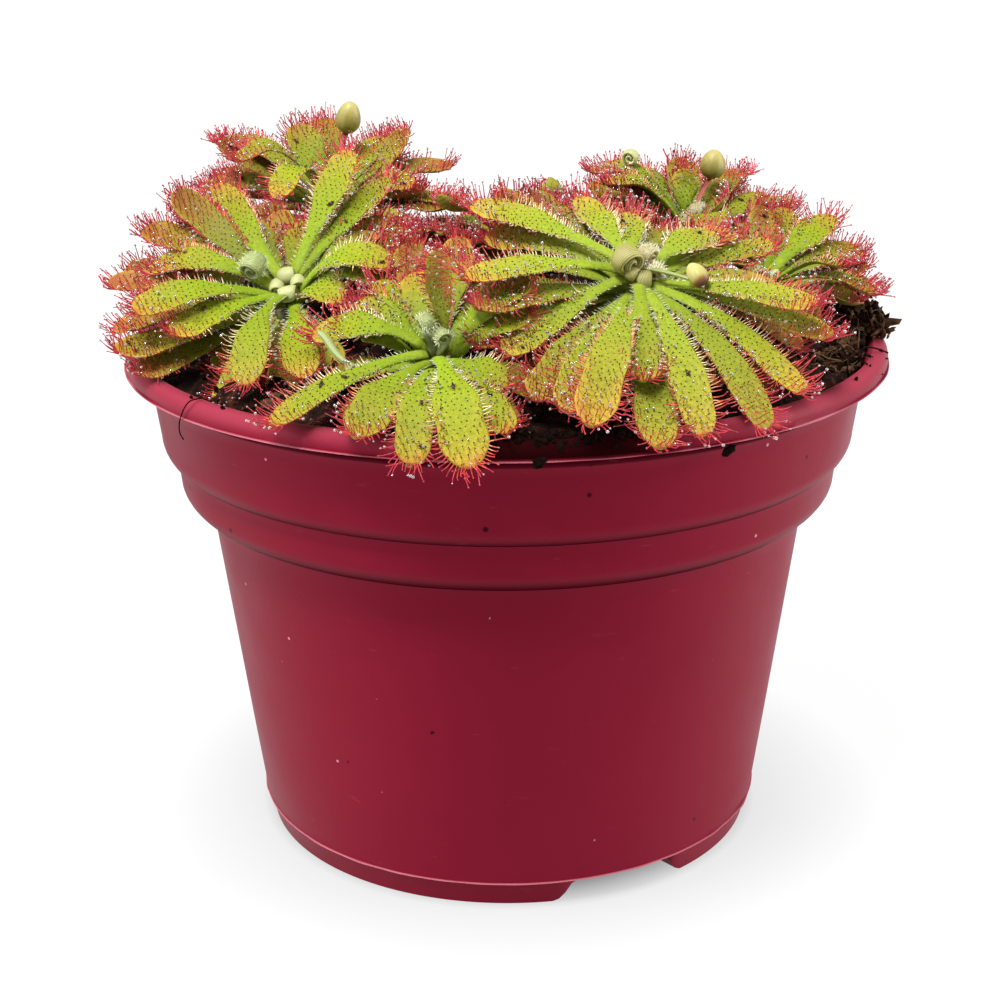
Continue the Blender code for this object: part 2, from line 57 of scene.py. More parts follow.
# Pot, in mm, with the same driving sizes as the solid.
POT_SIDES = 264
WALL = 1.0
FOOT_HEIGHT = 3.0
FOOT_RADIUS = 30.1
FOOT_TOP_RADIUS = 30.8
FOOT_INNER_RADIUS = 27.4
FOOT_ARC = 88.0
FOOT_END_SLANT = 4.0
FIRST_FOOT_ANGLE = -4.0
FOOT_COUNT = 3
BASE_THICKNESS = 1.2
BODY_FOOT_RADIUS = 30.95
BODY_TOP_RADIUS = 35.95
BODY_TOP_HEIGHT = 41.1
BAND_RADIUS = 39.35
BAND_BOTTOM = 44.3
BAND_TOP_RADIUS = 39.65
BAND_TOP_HEIGHT = 47.3
COLLAR_RADIUS = 41.35
COLLAR_BOTTOM = 50.0
COLLAR_TOP_RADIUS = 42.25
COLLAR_TOP_HEIGHT = 56.7
LIP_RADIUS = 45.0
LIP_MIDDLE_HEIGHT = 58.85
LIP_TOP_HEIGHT = 60.2
LIP_INNER_RADIUS = 43.0
LIP_FLASH_HEIGHT = 58.1
FLASH = 0.16
FLASH_WOBBLE = 0.16
FLASH_WAVES = 9.0
DRAIN_RADIUS = 3.0
DRAIN_CIRCLE = 17.0
DRAIN_COUNT = 6
DRAIN_SIDES = 32
SHARP_ANGLE = 40.0

# Rounded under-edges of the band and the collar start at this angle from level, in degrees.
EDGE_START = 15.0
EDGE_STEPS = 9

# Colour of the pot: its gloss, and where shade is painted near black on the lip in front, which also takes
# away the gloss there, in metres.
POT_GLOSS = 0.11
PAINTED_SHADE_ENDS = ((-0.007, -0.001), (0.020, 0.014))
PAINTED_SHADE_DEPTH = (-0.036, -0.040)
PAINTED_SHADE_RISE = (0.0581, 0.0585)
PAINTED_SHADE_RAGGEDNESS = 0.006

# Specks on the pot: (cells a metre, size in cells, least noise where they show, colour).
POT_SPECKS = ((230.0, 0.085, 0.54, (0.03, 0.001, 0.004)), (310.0, 0.07, 0.60, (0.5, 0.2, 0.24)))

# Peat, in mm. Each of its lumps is (height, size, layer of the noise).
SOIL_SIDES = 150
SOIL_RINGS = 46
SOIL_EDGE_HEIGHT = 59.2
SOIL_EDGE_RADIUS = 42.3
SOIL_FLOOR = 4.6
SOIL_CLEARANCE = 0.3
SOIL_SIDE_TOP = 56.0
SOIL_DOME = 6.0
SOIL_DOME_RADIUS = 42.0
MOUND_PLACE = (38.0, 4.0)
MOUND_HEIGHT = 3.2
MOUND_SPREAD = 7.0
BANK_PLACE = (40.5, 3.0)
BANK_HEIGHT = 3.6
BANK_SPREAD = 8.0
SOIL_ROUGHNESS = 0.45
SOIL_LUMPS = ((0.55, 2.1, 3.0), (0.38, 0.9, 7.0), (0.2, 0.45, 11.0))
CRUMB_COUNT = 1500
CRUMB_SIZE = 0.22
CRUMB_SIZE_SPREAD = 0.6
BANK_CRUMB_COUNT = 420
BANK_CRUMB_SIZES = (0.2, 0.6)
BANK_ANGLES = (-24.0, 30.0)
BANK_START_RADIUS = 34.0
BANK_LENGTH = 8.2
BANK_OVERHANG = 2.3
FIBRE_COUNT = 200
FIBRE_STATIONS = 9
FIBRE_LENGTHS = (2.0, 7.0)
FIBRE_RADII = (0.05, 0.13)
FIBRE_REACH = 42.0
BANK_FIBRE_COUNT = 130
BANK_FIBRE_PLACES = (36.0, 43.0)
BANK_FIBRE_REACH = 45.5
ROOT_HAIR = ((-32.2, -29.2, 60.4), (-33.2, -30.3, 60.6), (-33.9, -30.2, 59.9), (-34.5, -29.4, 58.6),
             (-34.8, -29.2, 57.8), (-34.9, -28.9, 56.9), (-34.8, -29.1, 56.4), (-34.4, -29.4, 55.9))
ROOT_HAIR_RADIUS = 0.075
CLOD_COUNT = 230
CLOD_RADII = (41.8, 45.3)
CLOD_ANGLES = (-6.5, 22.0)
CLOD_HEAP = 1.9
SHARD = (45.4, -0.4, 61.2)
SHARD_SIZE = (1.9, 0.8, 0.6)
SPILL_EDGE_RADIUS = 45.4
# Black crumbs on the front of the lip: partly spilt peat, partly put there as painted shade.
SPILL_AND_SHADE_COUNT = 170
SPILL_AND_SHADE_RADII = (42.4, 44.9)
SPILL_AND_SHADE_ANGLES = (-94.0, -70.0)
LIP_BITS = ((40.5, -17.2, 60.3, 0.16), (43.5, -11.2, 59.5, 0.18), (42.2, -15.8, 58.9, 0.14),
            (3.2, -44.9, 58.2, 0.85), (22.6, -38.4, 57.2, 0.95), (-29.6, -32.6, 60.3, 0.3),
            (-33.5, -28.4, 60.3, 0.25), (38.0, -22.6, 60.2, 0.35), (42.9, -10.5, 60.2, 0.3))

# Leaves, in mm, degrees and shares of their length. Roots, layers and stems are as in the solids, and
# OLD_ values are for leaves with a flush of OLD_FLUSH or for the share of it that they have.
PETIOLE_WIDTH = 1.4
BLADE_START = 0.30
OLD_BLADE_START = 0.12
OLD_FLUSH = 0.6
END_LENGTH = 0.78
WIDEST_RANGE = (0.66, 0.86)
FULL_WIDTH_LEAD = 0.1
END_ROUNDNESS = 2.3
BLADE_END = 1.004
LEAST_HALF_WIDTH = 0.2
CUPPING = (0.06, 0.22)
OLD_CUPPING = 0.28
MOST_ROLL = 9.0
MOST_SWAY = 0.5
USUAL_PALE = 0.06
ROOT_RADIUS = 1.2
LAYER_DROP = 3.4
STEM_RADIUS = 1.7
STEM_FOOT = 57.5
STEM_TOP_DROP = 2.6
COIL_DEGREES = 560.0
WAND_RADIUS = 0.42
PETIOLE_THICKNESS = 0.72
BLADE_THICKNESS = 0.46
HOOK_START = 0.76
LEAF_STEPS = 28
RING_POINTS = 14

# How deep light goes into leaves and buds, in metres.
GLOW_DEPTH = 0.0006

# Tentacles, in mm and degrees. WET_ values are the shares of glands that carry a droplet.
FIRST_TENTACLE_SHARE = 0.34
MARGIN_SPACING = 0.36
OLD_CROWDING = 0.32
OLD_SHORTENING = 0.42
EDGE = 0.97
TIP_SHARE = 0.985
TIP_FAN = 72.0
LEAN_SPREAD = 9.0
KEPT_TENTACLES = 0.94
STALK_SINK = 0.12
WET_MARGIN = 0.34
WET_TALL = 0.15
WET_LOW = 0.04
GLAND_SPACING = 0.66
ROW_SPACING = GLAND_SPACING * 0.9
GLAND_RADIUS = 0.092
LOW_GLAND = 0.30
SHORT_TENTACLE = 1.15
LONG_TENTACLE = 2.6
STALK_RADIUS = 0.085
STALK_TIP_RADIUS = 0.045
HEAD_RADIUS = 0.095
DROP_RADIUS = 0.16
TIP_TENTACLES = 9
SKIRT_WIDTH = 3.9
SKIRT_ARCH = 2.5
SKIRT_DENSITY = 0.55
OLD_DENSITY = 0.85
HAIR_LENGTH = 0.45
HAIR_SPACING = 0.36
HAIR_RADIUS = 0.03
HAIR_TIP_RADIUS = 0.006
HAIRS_ON_ROLLS = {"fuzzy": 170, "silver": 130}
MIDGE_CHANCE = 0.4

# Slot numbers on the pieces of tentacles. The stalks have the first ones, from pale to crimson.
STALK_FINISHES = 4
HEAD_FINISH = 4
DARK_HEAD_FINISH = 5
HAIR_FINISH = 6

# Rosettes. crown, tilt and toward are as in the solids. Each leaf is (angle, reach, rise, arch,
# width, flush, hook): degrees round the crown, then mm outward, up to the tip, of extra height half
# way and of blade width, then how red it is from 0 to 1, and the degrees that its tip curls up.
# rolls are coiled young leaves (angle, distance, height, width, coil radius, look), and eggs are
# smooth buds (x, y, z, width, length, axis, look, look of the stalk, radius of the stalk), in mm and
# degrees in the rosette's own frame. wands are slender young leaves that are rolled up lengthwise,
# each a list of points in the pot's frame. skirts are old leaves that fill in below (first angle,
# last angle, count, reach, rise, flush), and old are single ones, with the same seven numbers as
# leaves. pale is how far the fresh blades are tinted pale.
ROSETTES = {
    "left": {
        "crown": (-24.4, -14.0, 69.2), "tilt": 30, "toward": -115,
        "leaves": (
            (63, 18.0, 4.2, 0.5, 4.1, 0.22, 10), (49, 18.5, 0.6, 1.0, 4.1, 0.28, 12),
            (116, 18.9, 2.2, 1.0, 4.1, 0.42, 18), (-100, 18.5, 2.0, 2.5, 4.0, 0.06, -8),
            (-146, 14.6, 2.0, 1.2, 4.2, 0.26, 26), (160, 17.0, 0.5, 3.5, 4.1, 0.5, 10),
            (-14, 13.1, 1.9, 3.2, 3.9, 0.12, -18), (-160, 16.6, 4.0, 2.5, 4.2, 0.34, 16),
            (-18, 15.0, -1.2, 3.5, 4.0, 0.1, -14), (-44, 9.0, 0.6, 2.0, 3.9, 0.12, -10),
            (-82, 17.2, 0.4, 1.6, 4.1, 0.3, -6), (-158, 20.8, 0.3, 0.8, 4.7, 0.5, 40),
            (131, 18.3, 2.3, 1.3, 3.4, 0.6, 20), (-151, 19.6, -1.6, 0.6, 4.3, 0.58, 26),
            (146, 19.8, 2.0, 2.5, 4.3, 0.78, 18), (130, 18.6, 3.9, 2.0, 3.7, 0.95, 34),
            (85, 14.0, -3.0, 1.5, 4.3, 0.6, 10),
        ),
        "rolls": ((88, 1.1, 0.2, 2.2, 0.9, "cream"), (178, 1.15, -0.2, 1.9, 0.8, "cream"),
                  (-88, 1.35, -0.4, 2.5, 0.95, "cream"), (2, 1.1, -0.2, 1.9, 0.8, "cream"),
                  (158, 3.4, 2.4, 2.9, 1.3, "silver")),
        "wands": (((-13.1, -9.6, 69.6), (-12.7, -9.4, 71.0), (-12.6, -9.2, 72.2), (-13.1, -9.2, 72.9)),),
        "skirts": ((92, 170, 5, 18.0, -3.0, 0.75), (155, 195, 4, 19.5, 0.5, 0.8),
                   (190, 300, 6, 13.5, -5.0, 0.6), (5, 75, 5, 14.0, -2.5, 0.6)),
        "old": ((14, 16.0, -2.0, 1.5, 4.2, 0.6, 20), (26, 15.5, -2.5, 1.5, 4.2, 0.8, 24),
                (168, 12.0, 1.0, 1.2, 4.2, 0.6, 20), (-115, 17.8, -3.0, 1.2, 4.3, 0.5, 14),
                (-92, 17.0, -3.2, 1.2, 4.2, 0.85, 16)),
    },
    "centre": {
        "crown": (14.2, -21.0, 72.3), "tilt": 24, "toward": -85,
        "leaves": (
            (152, 20.5, 0.3, 1.5, 4.3, 0.2, 10), (-164, 19.4, 1.1, 1.7, 4.3, 0.26, 12),
            (-138, 19.0, -3.1, 1.0, 4.4, 0.22, 14), (-92, 19.5, -1.6, 1.2, 4.1, 0.3, 40),
            (92, 11.9, -1.5, 0.5, 3.8, 0.1, 10), (115, 14.5, -0.9, 1.0, 3.8, 0.16, 24),
            (40, 11.9, -1.5, 1.5, 4.3, 0.18, 20), (-29, 22.5, -1.2, 1.2, 4.3, 0.36, 12),
            (-77, 25.2, -3.2, 3.0, 3.8, 0.14, -6), (-45, 23.6, -4.3, 2.5, 3.6, 0.3, 10),
            (30, 18.2, -3.5, 0.8, 4.3, 0.26, 18), (-31, 20.4, 2.6, 1.2, 4.0, 0.32, 8),
            (-60, 25.0, -4.8, 3.2, 3.9, 0.4, -6), (-110, 24.4, -1.9, 1.8, 4.3, 0.28, 8),
            (159, 17.8, -2.6, 2.5, 4.3, 0.5, 26), (-154, 19.5, -0.9, 1.6, 4.3, 0.62, 30),
            (-118, 24.0, -2.2, 1.6, 4.3, 0.58, 14), (-148, 20.5, -4.2, 1.6, 4.3, 0.78, 26),
            (-88, 26.8, -3.4, 1.8, 4.3, 0.3, 14), (-103, 27.5, -0.9, 3.5, 4.3, 0.48, 10),
        ),
        "rolls": ((-142, 1.6, 1.7, 3.0, 1.5, "tan"), (42, 1.3, 1.1, 2.1, 1.0, "fuzzy"),
                  (-78, 1.8, -0.3, 2.3, 1.05, "tan"), (-20, 1.9, 0.1, 1.9, 0.9, "fuzzy"),
                  (-112, 2.0, 0.6, 1.6, 0.75, "tan")),
        "eggs": ((5.9, -3.9, 2.2, 2.1, 3.0, (-0.5, 0.8, 0.31), "brown", "silver", 0.26),),
        "pale": 0.17,
        "skirts": ((20, 165, 9, 15.0, -4.5, 0.55), (172, 262, 6, 18.0, -5.5, 0.8),
                   (275, 372, 6, 19.0, -5.5, 0.7)),
        "old": ((142, 19.5, -0.2, 1.0, 4.2, 0.85, 40), (134, 18.0, -1.0, 1.0, 4.2, 0.9, 40)),
    },
    "front": {
        "crown": (-7.5, -31.0, 66.4), "tilt": 25, "toward": -100,
        "leaves": (
            (165, 13.5, -1.0, 2.0, 4.3, 0.2, 12), (-148, 19.6, -0.9, 2.0, 3.7, 0.2, 8),
            (-79, 18.9, -2.1, 4.0, 5.0, 0.1, -6), (-118, 16.2, -0.5, 1.8, 5.0, 0.42, 24),
            (-42, 9.8, -1.2, 1.3, 4.3, 0.14, -10), (140, 11.0, 0.1, 1.5, 3.9, 0.36, 14),
            (-98, 17.6, -1.8, 4.0, 3.9, 0.3, -10), (-62, 15.8, -1.2, 1.7, 3.9, 0.3, 12),
            (40, 2.6, 9.8, 1.2, 3.9, 0.8, -16),
        ),
        "rolls": ((120, 1.3, 2.0, 1.8, 0.95, "silver"), (20, 1.0, 0.9, 1.6, 0.8, "silver")),
        "wands": (((-15.6, -33.6, 64.9), (-17.0, -33.0, 65.4), (-18.0, -32.0, 66.4), (-18.7, -31.2, 67.4),
                   (-19.6, -30.6, 68.0)),),
        "skirts": ((15, 160, 8, 13.0, -0.5, 0.35), (175, 350, 7, 13.0, -4.5, 0.7)),
        "old": ((80, 16.5, 0.8, 1.0, 4.2, 0.75, 30), (101, 16.5, 0.4, 1.0, 4.2, 0.8, 30)),
    },
    "back_right": {
        "crown": (23.1, 13.0, 70.3), "tilt": 12, "toward": -80,
        "leaves": (
            (124, 3.6, 6.2, 0.0, 4.0, 0.34, 6), (-170, 11.0, 4.8, 3.0, 4.3, 0.4, 20),
            (159, 13.6, 3.3, 4.0, 4.3, 0.56, 24), (-24, 4.3, 4.2, 0.5, 3.8, 0.52, 20),
            (-75, 6.9, 1.2, 3.0, 4.3, 0.34, 16), (95, 11.0, 3.8, 1.0, 4.3, 0.86, 24),
            (54, 12.8, 2.0, 2.5, 4.3, 0.85, 20), (125, 14.0, 1.5, 3.0, 4.3, 0.74, 16),
            (28, 14.0, -1.0, 3.0, 4.3, 0.7, 14), (105, 17.0, -2.5, 3.5, 4.3, 0.62, 12),
            (140, 17.0, -3.0, 3.0, 4.3, 0.55, 12), (68, 17.0, -3.0, 3.0, 4.3, 0.66, 12),
        ),
        "rolls": ((-120, 1.3, 1.1, 2.2, 1.0, "tan"), (60, 1.3, 1.2, 2.2, 1.0, "fuzzy"),
                  (152, 8.8, 7.0, 1.5, 0.95, "cream")),
        "eggs": ((2.5, 4.6, 6.3, 3.2, 3.7, (0.05, 0.1, 1.0), "olive", "stalk", 0.3),),
        "skirts": ((190, 350, 8, 11.5, -3.0, 0.8), (10, 170, 7, 14.5, -0.5, 0.85)),
        "old": ((-145, 10.0, 3.4, 1.5, 4.2, 0.6, 24), (175, 9.5, 4.2, 1.0, 4.2, 0.7, 24),
                (-46, 12.5, -3.3, 1.5, 4.3, 0.6, 20), (165, 8.5, 2.7, 2.4, 4.3, 0.92, 20),
                (150, 12.0, 2.1, 2.7, 4.3, 0.92, 20)),
    },
    "back_left": {
        "crown": (-21.5, 18.0, 73.1), "tilt": 15, "toward": -110,
        "leaves": (
            (-160, 11.3, 6.3, 5.0, 4.3, 0.62, 24), (-122, 11.7, 2.9, 5.5, 4.3, 0.34, 14),
            (156, 15.8, 5.3, 3.0, 4.3, 0.8, 10), (117, 10.1, 5.6, 1.5, 4.3, 0.52, 20),
            (58, 11.2, 2.9, 1.5, 4.3, 0.46, 18), (45, 11.0, 0.5, 2.0, 4.3, 0.56, 24),
            (-29, 11.9, 1.8, 3.0, 4.3, 0.6, 20), (-44, 8.6, -2.5, 2.0, 4.3, 0.5, 16),
            (98, 15.0, 3.4, 2.5, 4.3, 0.72, 18), (72, 16.5, -1.0, 3.0, 4.3, 0.6, 14),
            (175, 17.0, 1.0, 3.0, 4.3, 0.82, 18), (118, 18.0, -1.5, 3.5, 4.3, 0.58, 12),
            (148, 19.0, -1.0, 3.0, 4.3, 0.72, 14),
        ),
        "rolls": ((-60, 1.3, 1.1, 2.2, 1.0, "tan"), (130, 1.3, 1.2, 2.2, 1.0, "fuzzy")),
        "eggs": ((2.5, 6.0, 8.1, 3.1, 4.2, (0.3, 0.0, 1.0), "olive", "stalk", 0.42),),
        "skirts": ((180, 262, 6, 17.5, -4.5, 0.85), (235, 300, 4, 12.0, -1.5, 0.6),
                   (300, 350, 4, 16.0, -0.5, 0.65), (10, 170, 7, 14.5, -0.5, 0.8)),
        "old": ((168, 14.5, 6.4, 1.5, 4.2, 0.85, 30), (30, 11.5, 5.0, 1.0, 4.2, 0.7, 30),
                (-20, 12.5, 0.9, 1.5, 4.2, 0.8, 24), (-140, 12.0, 1.2, 2.2, 4.2, 0.6, 20)),
    },
    "right": {
        "crown": (30.1, -2.0, 67.0), "tilt": 20, "toward": -30,
        "leaves": (
            (52, 11.6, 5.8, 1.5, 4.3, 0.36, 18), (-37, 8.6, 5.1, 2.0, 3.9, 0.3, 10),
            (-28, 13.2, 3.0, 2.5, 4.3, 0.55, 18), (28, 12.5, 3.7, 2.0, 4.3, 0.72, 22),
            (101, 8.7, 4.8, 1.0, 3.8, 0.8, 22), (78, 9.9, 4.8, 1.5, 3.8, 0.5, 18),
            (5, 14.0, 1.0, 2.5, 4.3, 0.74, 20), (70, 13.5, 0.5, 2.0, 4.3, 0.72, 16),
            (-60, 10.0, 1.0, 2.0, 4.3, 0.4, 12),
        ),
        "rolls": ((-150, 0.9, 0.7, 1.3, 0.6, "tan"),),
        "eggs": ((1.0, -1.0, 1.0, 1.2, 1.7, (0.25, 0.0, 1.0), "cream", "stalk", 0.25),),
        "skirts": ((-170, -45, 6, 11.0, -1.5, 0.75), (-35, 100, 7, 12.5, 0.5, 0.85)),
        "old": ((-168, 9.5, 0.2, 1.0, 4.2, 0.5, 30), (18, 13.0, 2.6, 1.5, 4.2, 0.8, 30)),
    },
    "middle": {
        "crown": (1.5, 16.0, 68.5), "tilt": 12, "toward": 90,
        "leaves": (
            (-126, 16.0, 2.5, 1.5, 3.6, 0.62, 70), (-66, 12.0, 5.1, 1.0, 3.2, 0.4, 140),
            (105, 18.0, 1.5, 2.5, 4.3, 0.5, 16), (175, 11.0, 0.0, 1.5, 4.3, 0.6, 14),
            (-6, 12.0, -1.0, 2.5, 4.3, 0.5, 14), (62, 20.0, -0.5, 3.5, 4.3, 0.4, 12),
            (128, 20.0, -0.5, 3.5, 4.3, 0.62, 12), (88, 30.0, -0.5, 3.0, 4.3, 0.3, 6),
            (-97, 19.0, -0.5, 3.0, 4.3, 0.7, 14),
        ),
        "rolls": ((90, 1.3, 1.1, 2.2, 1.0, "cream"), (-50, 1.3, 1.1, 2.2, 1.0, "tan")),
        "skirts": ((190, 250, 5, 19.0, -0.5, 0.75), (250, 350, 6, 13.0, 1.5, 0.6),
                   (15, 165, 6, 16.0, -1.0, 0.7)),
        "old": ((-118, 18.0, -2.5, 2.0, 4.3, 0.7, 22), (-134, 18.0, -2.0, 2.0, 4.3, 0.8, 26),
                (-150, 17.5, -0.5, 1.5, 4.2, 0.75, 30), (-70, 11.5, 2.6, 1.0, 4.2, 0.5, 24)),
    },
}

LOOK_ORDER = ("cream", "silver", "tan", "fuzzy", "olive", "brown", "stalk", "bark")
BUD_LOOKS = {look: number for number, look in enumerate(LOOK_ORDER)}


class Shape:
    """Vertices, faces and one number for each vertex by name, gathered before a mesh is made."""

    def __init__(self, *names):
        self.vertices = []
        self.faces = []
        self.finishes = []
        self.values = {name: [] for name in names}
        self.count = 0

    def add(self, vertices, *faces, finish=0, **values):
        """Each of faces is an array of vertex numbers. finish is a slot number, or one for each face."""
        self.vertices.append(vertices)
        for corners in faces:
            self.faces.extend((corners + self.count).tolist())
        self.finishes.append(np.broadcast_to(finish, sum(map(len, faces))))
        for name, kept in self.values.items():
            kept.append(np.broadcast_to(values.get(name, 0.0), len(vertices)))
        self.count += len(vertices)

    def make(self, name, slot, *finishes):
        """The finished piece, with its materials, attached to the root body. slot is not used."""
        mesh = bpy.data.meshes.new(name)
        mesh.from_pydata((np.concatenate(self.vertices) * MM).tolist(), [], self.faces)
        for key, kept in self.values.items():
            layer = mesh.attributes.new(key, "FLOAT", "POINT")
            layer.data.foreach_set("value", np.concatenate(kept).astype(np.float32))
        for finish in finishes:
            mesh.materials.append(finish)
        mesh.polygons.foreach_set("material_index", np.concatenate(self.finishes).astype(np.int32))
        mesh.shade_smooth()
        mesh.update()
        piece = placed(name, mesh)
        finish_piece(piece)
        return piece


def placed(name, data):
    """A new object for the data, in the scene."""
    made = bpy.data.objects.new(name, data)
    bpy.context.scene.collection.objects.link(made)
    return made


def finish_piece(piece):
    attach(piece, "root")


def normalised(vectors):
    return vectors / np.maximum(np.linalg.norm(vectors, axis=-1, keepdims=True), 1e-9)


def smooth_step(share):
    share = np.clip(share, 0.0, 1.0)
    return share * share * (3.0 - 2.0 * share)


def level_heading(degrees):
    """The level direction at an angle in degrees, and the one at its left."""
    east, north = polar(1.0, math.radians(degrees))
    return np.array([east, north, 0.0]), np.array([-north, east, 0.0])


def polar(radius, angle):
    return radius * math.cos(angle), radius * math.sin(angle)


def rosette_axes(plan):
    """Matrix from a rosette's own tilted frame to the world's, and its crown."""
    _, axis = level_heading(plan["toward"])
    turn = Matrix.Rotation(math.radians(plan["tilt"]), 3, Vector(axis))
    return np.array(turn), np.array(plan["crown"])


class Leaf:
    """One leaf's shape, as functions of the share along it and of the share across it."""

    def __init__(self, plan, entry, layer, density, rng):
        angle, reach, rise, arch, self.width, self.flush, hook = entry
        self.turn, self.crown = rosette_axes(plan)
        self.density = density
        heading, self.side = level_heading(angle)
        self.root = heading * ROOT_RADIUS - UPWARD * LAYER_DROP * layer
        self.run = heading * reach + UPWARD * rise - self.root
        self.length = np.linalg.norm(self.run)
        self.widest = min(max(1.0 - END_LENGTH * self.width / self.length, WIDEST_RANGE[0]), WIDEST_RANGE[1])
        self.arch = arch
        self.hook = math.radians(hook) + 1e-4
        self.cup = rng.uniform(*CUPPING) + OLD_CUPPING * self.flush
        self.roll = math.radians(rng.uniform(-MOST_ROLL, MOST_ROLL))
        self.sway = rng.uniform(-MOST_SWAY, MOST_SWAY)
        self.tone = rng.uniform(0.0, 1.0)
        self.pale = plan.get("pale", USUAL_PALE) * (1.0 - self.flush)
        self.start = BLADE_START + (OLD_BLADE_START - BLADE_START) * min(self.flush / OLD_FLUSH, 1.0)

    def half_width(self, share):
        """Half the width of the spatula-shaped leaf at shares of its length. Old ones widen sooner."""
        narrow = PETIOLE_WIDTH / 2.0
        wide = self.width / 2.0
        full = self.widest - FULL_WIDTH_LEAD
        growing = narrow + (wide - narrow) * smooth_step((share - self.start) / (full - self.start))
        end = np.clip((share - self.widest) / (BLADE_END - self.widest), 0.0, 1.0)
        return growing * np.sqrt(1.0 - end ** END_ROUNDNESS)

    def line(self, share):
        """Centre points, side, up and forward directions in the rosette's frame."""
        share = np.asarray(share, float)
        straight = np.minimum(share, HOOK_START)
        rise = (self.arch * 4.0 * straight * (1.0 - straight))[:, None] * UPWARD
        sway = (self.sway * np.sin(math.pi * straight))[:, None] * self.side
        centre = self.root + straight[:, None] * self.run + rise + sway
        forward = normalised(self.run + (self.arch * 4.0 * (1.0 - 2.0 * straight))[:, None] * UPWARD)
        up = normalised(np.cross(forward, self.side))
        bend = self.hook * (share - straight) / (1.0 - HOOK_START)
        rate = self.hook / (1.0 - HOOK_START) / self.length
        centre = centre + forward * (np.sin(bend) / rate)[:, None]
        centre = centre + up * ((1.0 - np.cos(bend)) / rate)[:, None]
        turned = forward * np.cos(bend)[:, None] + up * np.sin(bend)[:, None]
        up = up * np.cos(bend)[:, None] - forward * np.sin(bend)[:, None]
        rolled = self.roll * smooth_step(share)[:, None]
        side = self.side * np.cos(rolled) + up * np.sin(rolled)
        up = up * np.cos(rolled) - self.side * np.sin(rolled)
        return centre, side, up, turned

    def thickness(self, share):
        return PETIOLE_THICKNESS + (BLADE_THICKNESS - PETIOLE_THICKNESS) * smooth_step(share * 1.5)

    def cupping(self, share):
        """How far the blade's edges stand above its middle, as a share of its half width."""
        return self.cup * smooth_step((share - 0.3) / 0.4)

    def top(self, share, across):
        """Points on the upper side and the way it faces, its side and forward, in the world's frame."""
        centre, side, up, forward = self.line(share)
        wide = self.half_width(share)
        half = self.thickness(share) / 2.0
        cupped = self.cupping(share)
        level = half * np.sqrt(np.clip(1.0 - across ** 2, 0.0, 1.0)) + cupped * wide * across ** 2
        place = centre + side * (wide * across)[:, None] + up * level[:, None]
        facing = normalised(up - side * (2.0 * cupped * across)[:, None])
        return self.world(place), facing @ self.turn.T, side @ self.turn.T, forward @ self.turn.T

    def world(self, place):
        return place @ self.turn.T + self.crown


def ring_faces(rows, points):
    """Quads between rings of a swept skin."""
    row = np.arange(rows - 1)[:, None] * points
    step = np.arange(points)[None, :]
    following = (step + 1) % points
    quads = np.stack([row + step, row + following, row + points + following, row + points + step], axis=-1)
    return quads.reshape(-1, 4)


def cap_faces(rows, points):
    """Triangles that close the first and the last ring, round two vertices that follow the rings."""
    first = np.arange(points)
    following = np.roll(first, -1)
    top = rows * points
    low = np.stack([np.full(points, top), following, first], axis=-1)
    high = np.stack([np.full(points, top + 1), first + top - points, following + top - points], axis=-1)
    return np.concatenate([low, high])


def swept(shape, centre, side, up, wide, half, points, cup=0.0, finish=0, **values):
    """Add a closed skin with a flat oval section along a line. Widths, cup and values are one number
    for all stations or one for each."""
    rows = len(centre)
    wide, half, cup = (np.broadcast_to(number, rows)[:, None] for number in (wide, half, cup))
    angle = 2.0 * math.pi * np.arange(points) / points
    across = np.cos(angle)
    level = np.sin(angle)
    outward = (wide * across)[..., None]
    upward = (half * level + cup * wide * across ** 2)[..., None]
    side, up = (np.broadcast_to(direction, centre.shape)[:, None, :] for direction in (side, up))
    ring = centre[:, None, :] + side * outward + up * upward
    ends = {}
    for name, value in values.items():
        value = np.broadcast_to(value, rows)
        ends[name] = np.concatenate([np.repeat(value, points), value[:1], value[-1:]])
    ends["across"] = np.concatenate([np.tile(across, rows), [0.0, 0.0]])
    ends["under"] = np.concatenate([np.tile(np.where(level < -0.05, 1.0, 0.0), rows), [0.0, 0.0]])
    vertices = np.concatenate([ring.reshape(-1, 3), centre[:1], centre[-1:]])
    shape.add(vertices, ring_faces(rows, points), cap_faces(rows, points), finish=finish, **ends)


def add_blade(shape, leaf):
    share = 1.0 - (1.0 - np.linspace(0.0, 1.0, LEAF_STEPS)) ** 1.5
    centre, side, up, _ = leaf.line(share)
    wave = 1.0 + 0.045 * np.sin(share * 23.0 + leaf.tone * 9.0)
    wide = np.maximum(leaf.half_width(share), LEAST_HALF_WIDTH) * wave
    swept(shape, leaf.world(centre), side @ leaf.turn.T, up @ leaf.turn.T, wide, leaf.thickness(share) / 2.0,
          RING_POINTS, leaf.cupping(share), along=share, flush=leaf.flush, tone=leaf.tone, pale=leaf.pale)


def ball(subdivisions):
    """Vertices and faces of a unit ball of triangles."""
    mesh_data = bmesh.new()
    bmesh.ops.create_icosphere(mesh_data, subdivisions=subdivisions, radius=1.0)
    vertices = np.array([vertex.co[:] for vertex in mesh_data.verts])
    faces = np.array([[vertex.index for vertex in face.verts] for face in mesh_data.faces])
    mesh_data.free()
    return vertices, faces


def bead():
    """Vertices and faces of the plainest ball, with eight faces."""
    vertices = np.array([[1, 0, 0], [0, 1, 0], [-1, 0, 0], [0, -1, 0], [0, 0, 1], [0, 0, -1]], float)
    faces = np.array([[0, 1, 4], [1, 2, 4], [2, 3, 4], [3, 0, 4], [1, 0, 5], [2, 1, 5], [3, 2, 5], [0, 3, 5]])
    return vertices, faces


def axes_along(forward):
    """Two directions square to each of the given ones."""
    helper = np.where(np.abs(forward[:, 2:3]) > 0.8, np.array([1.0, 0.0, 0.0]), np.array([0.0, 0.0, 1.0]))
    first = normalised(np.cross(forward, helper))
    return first, np.cross(forward, first)


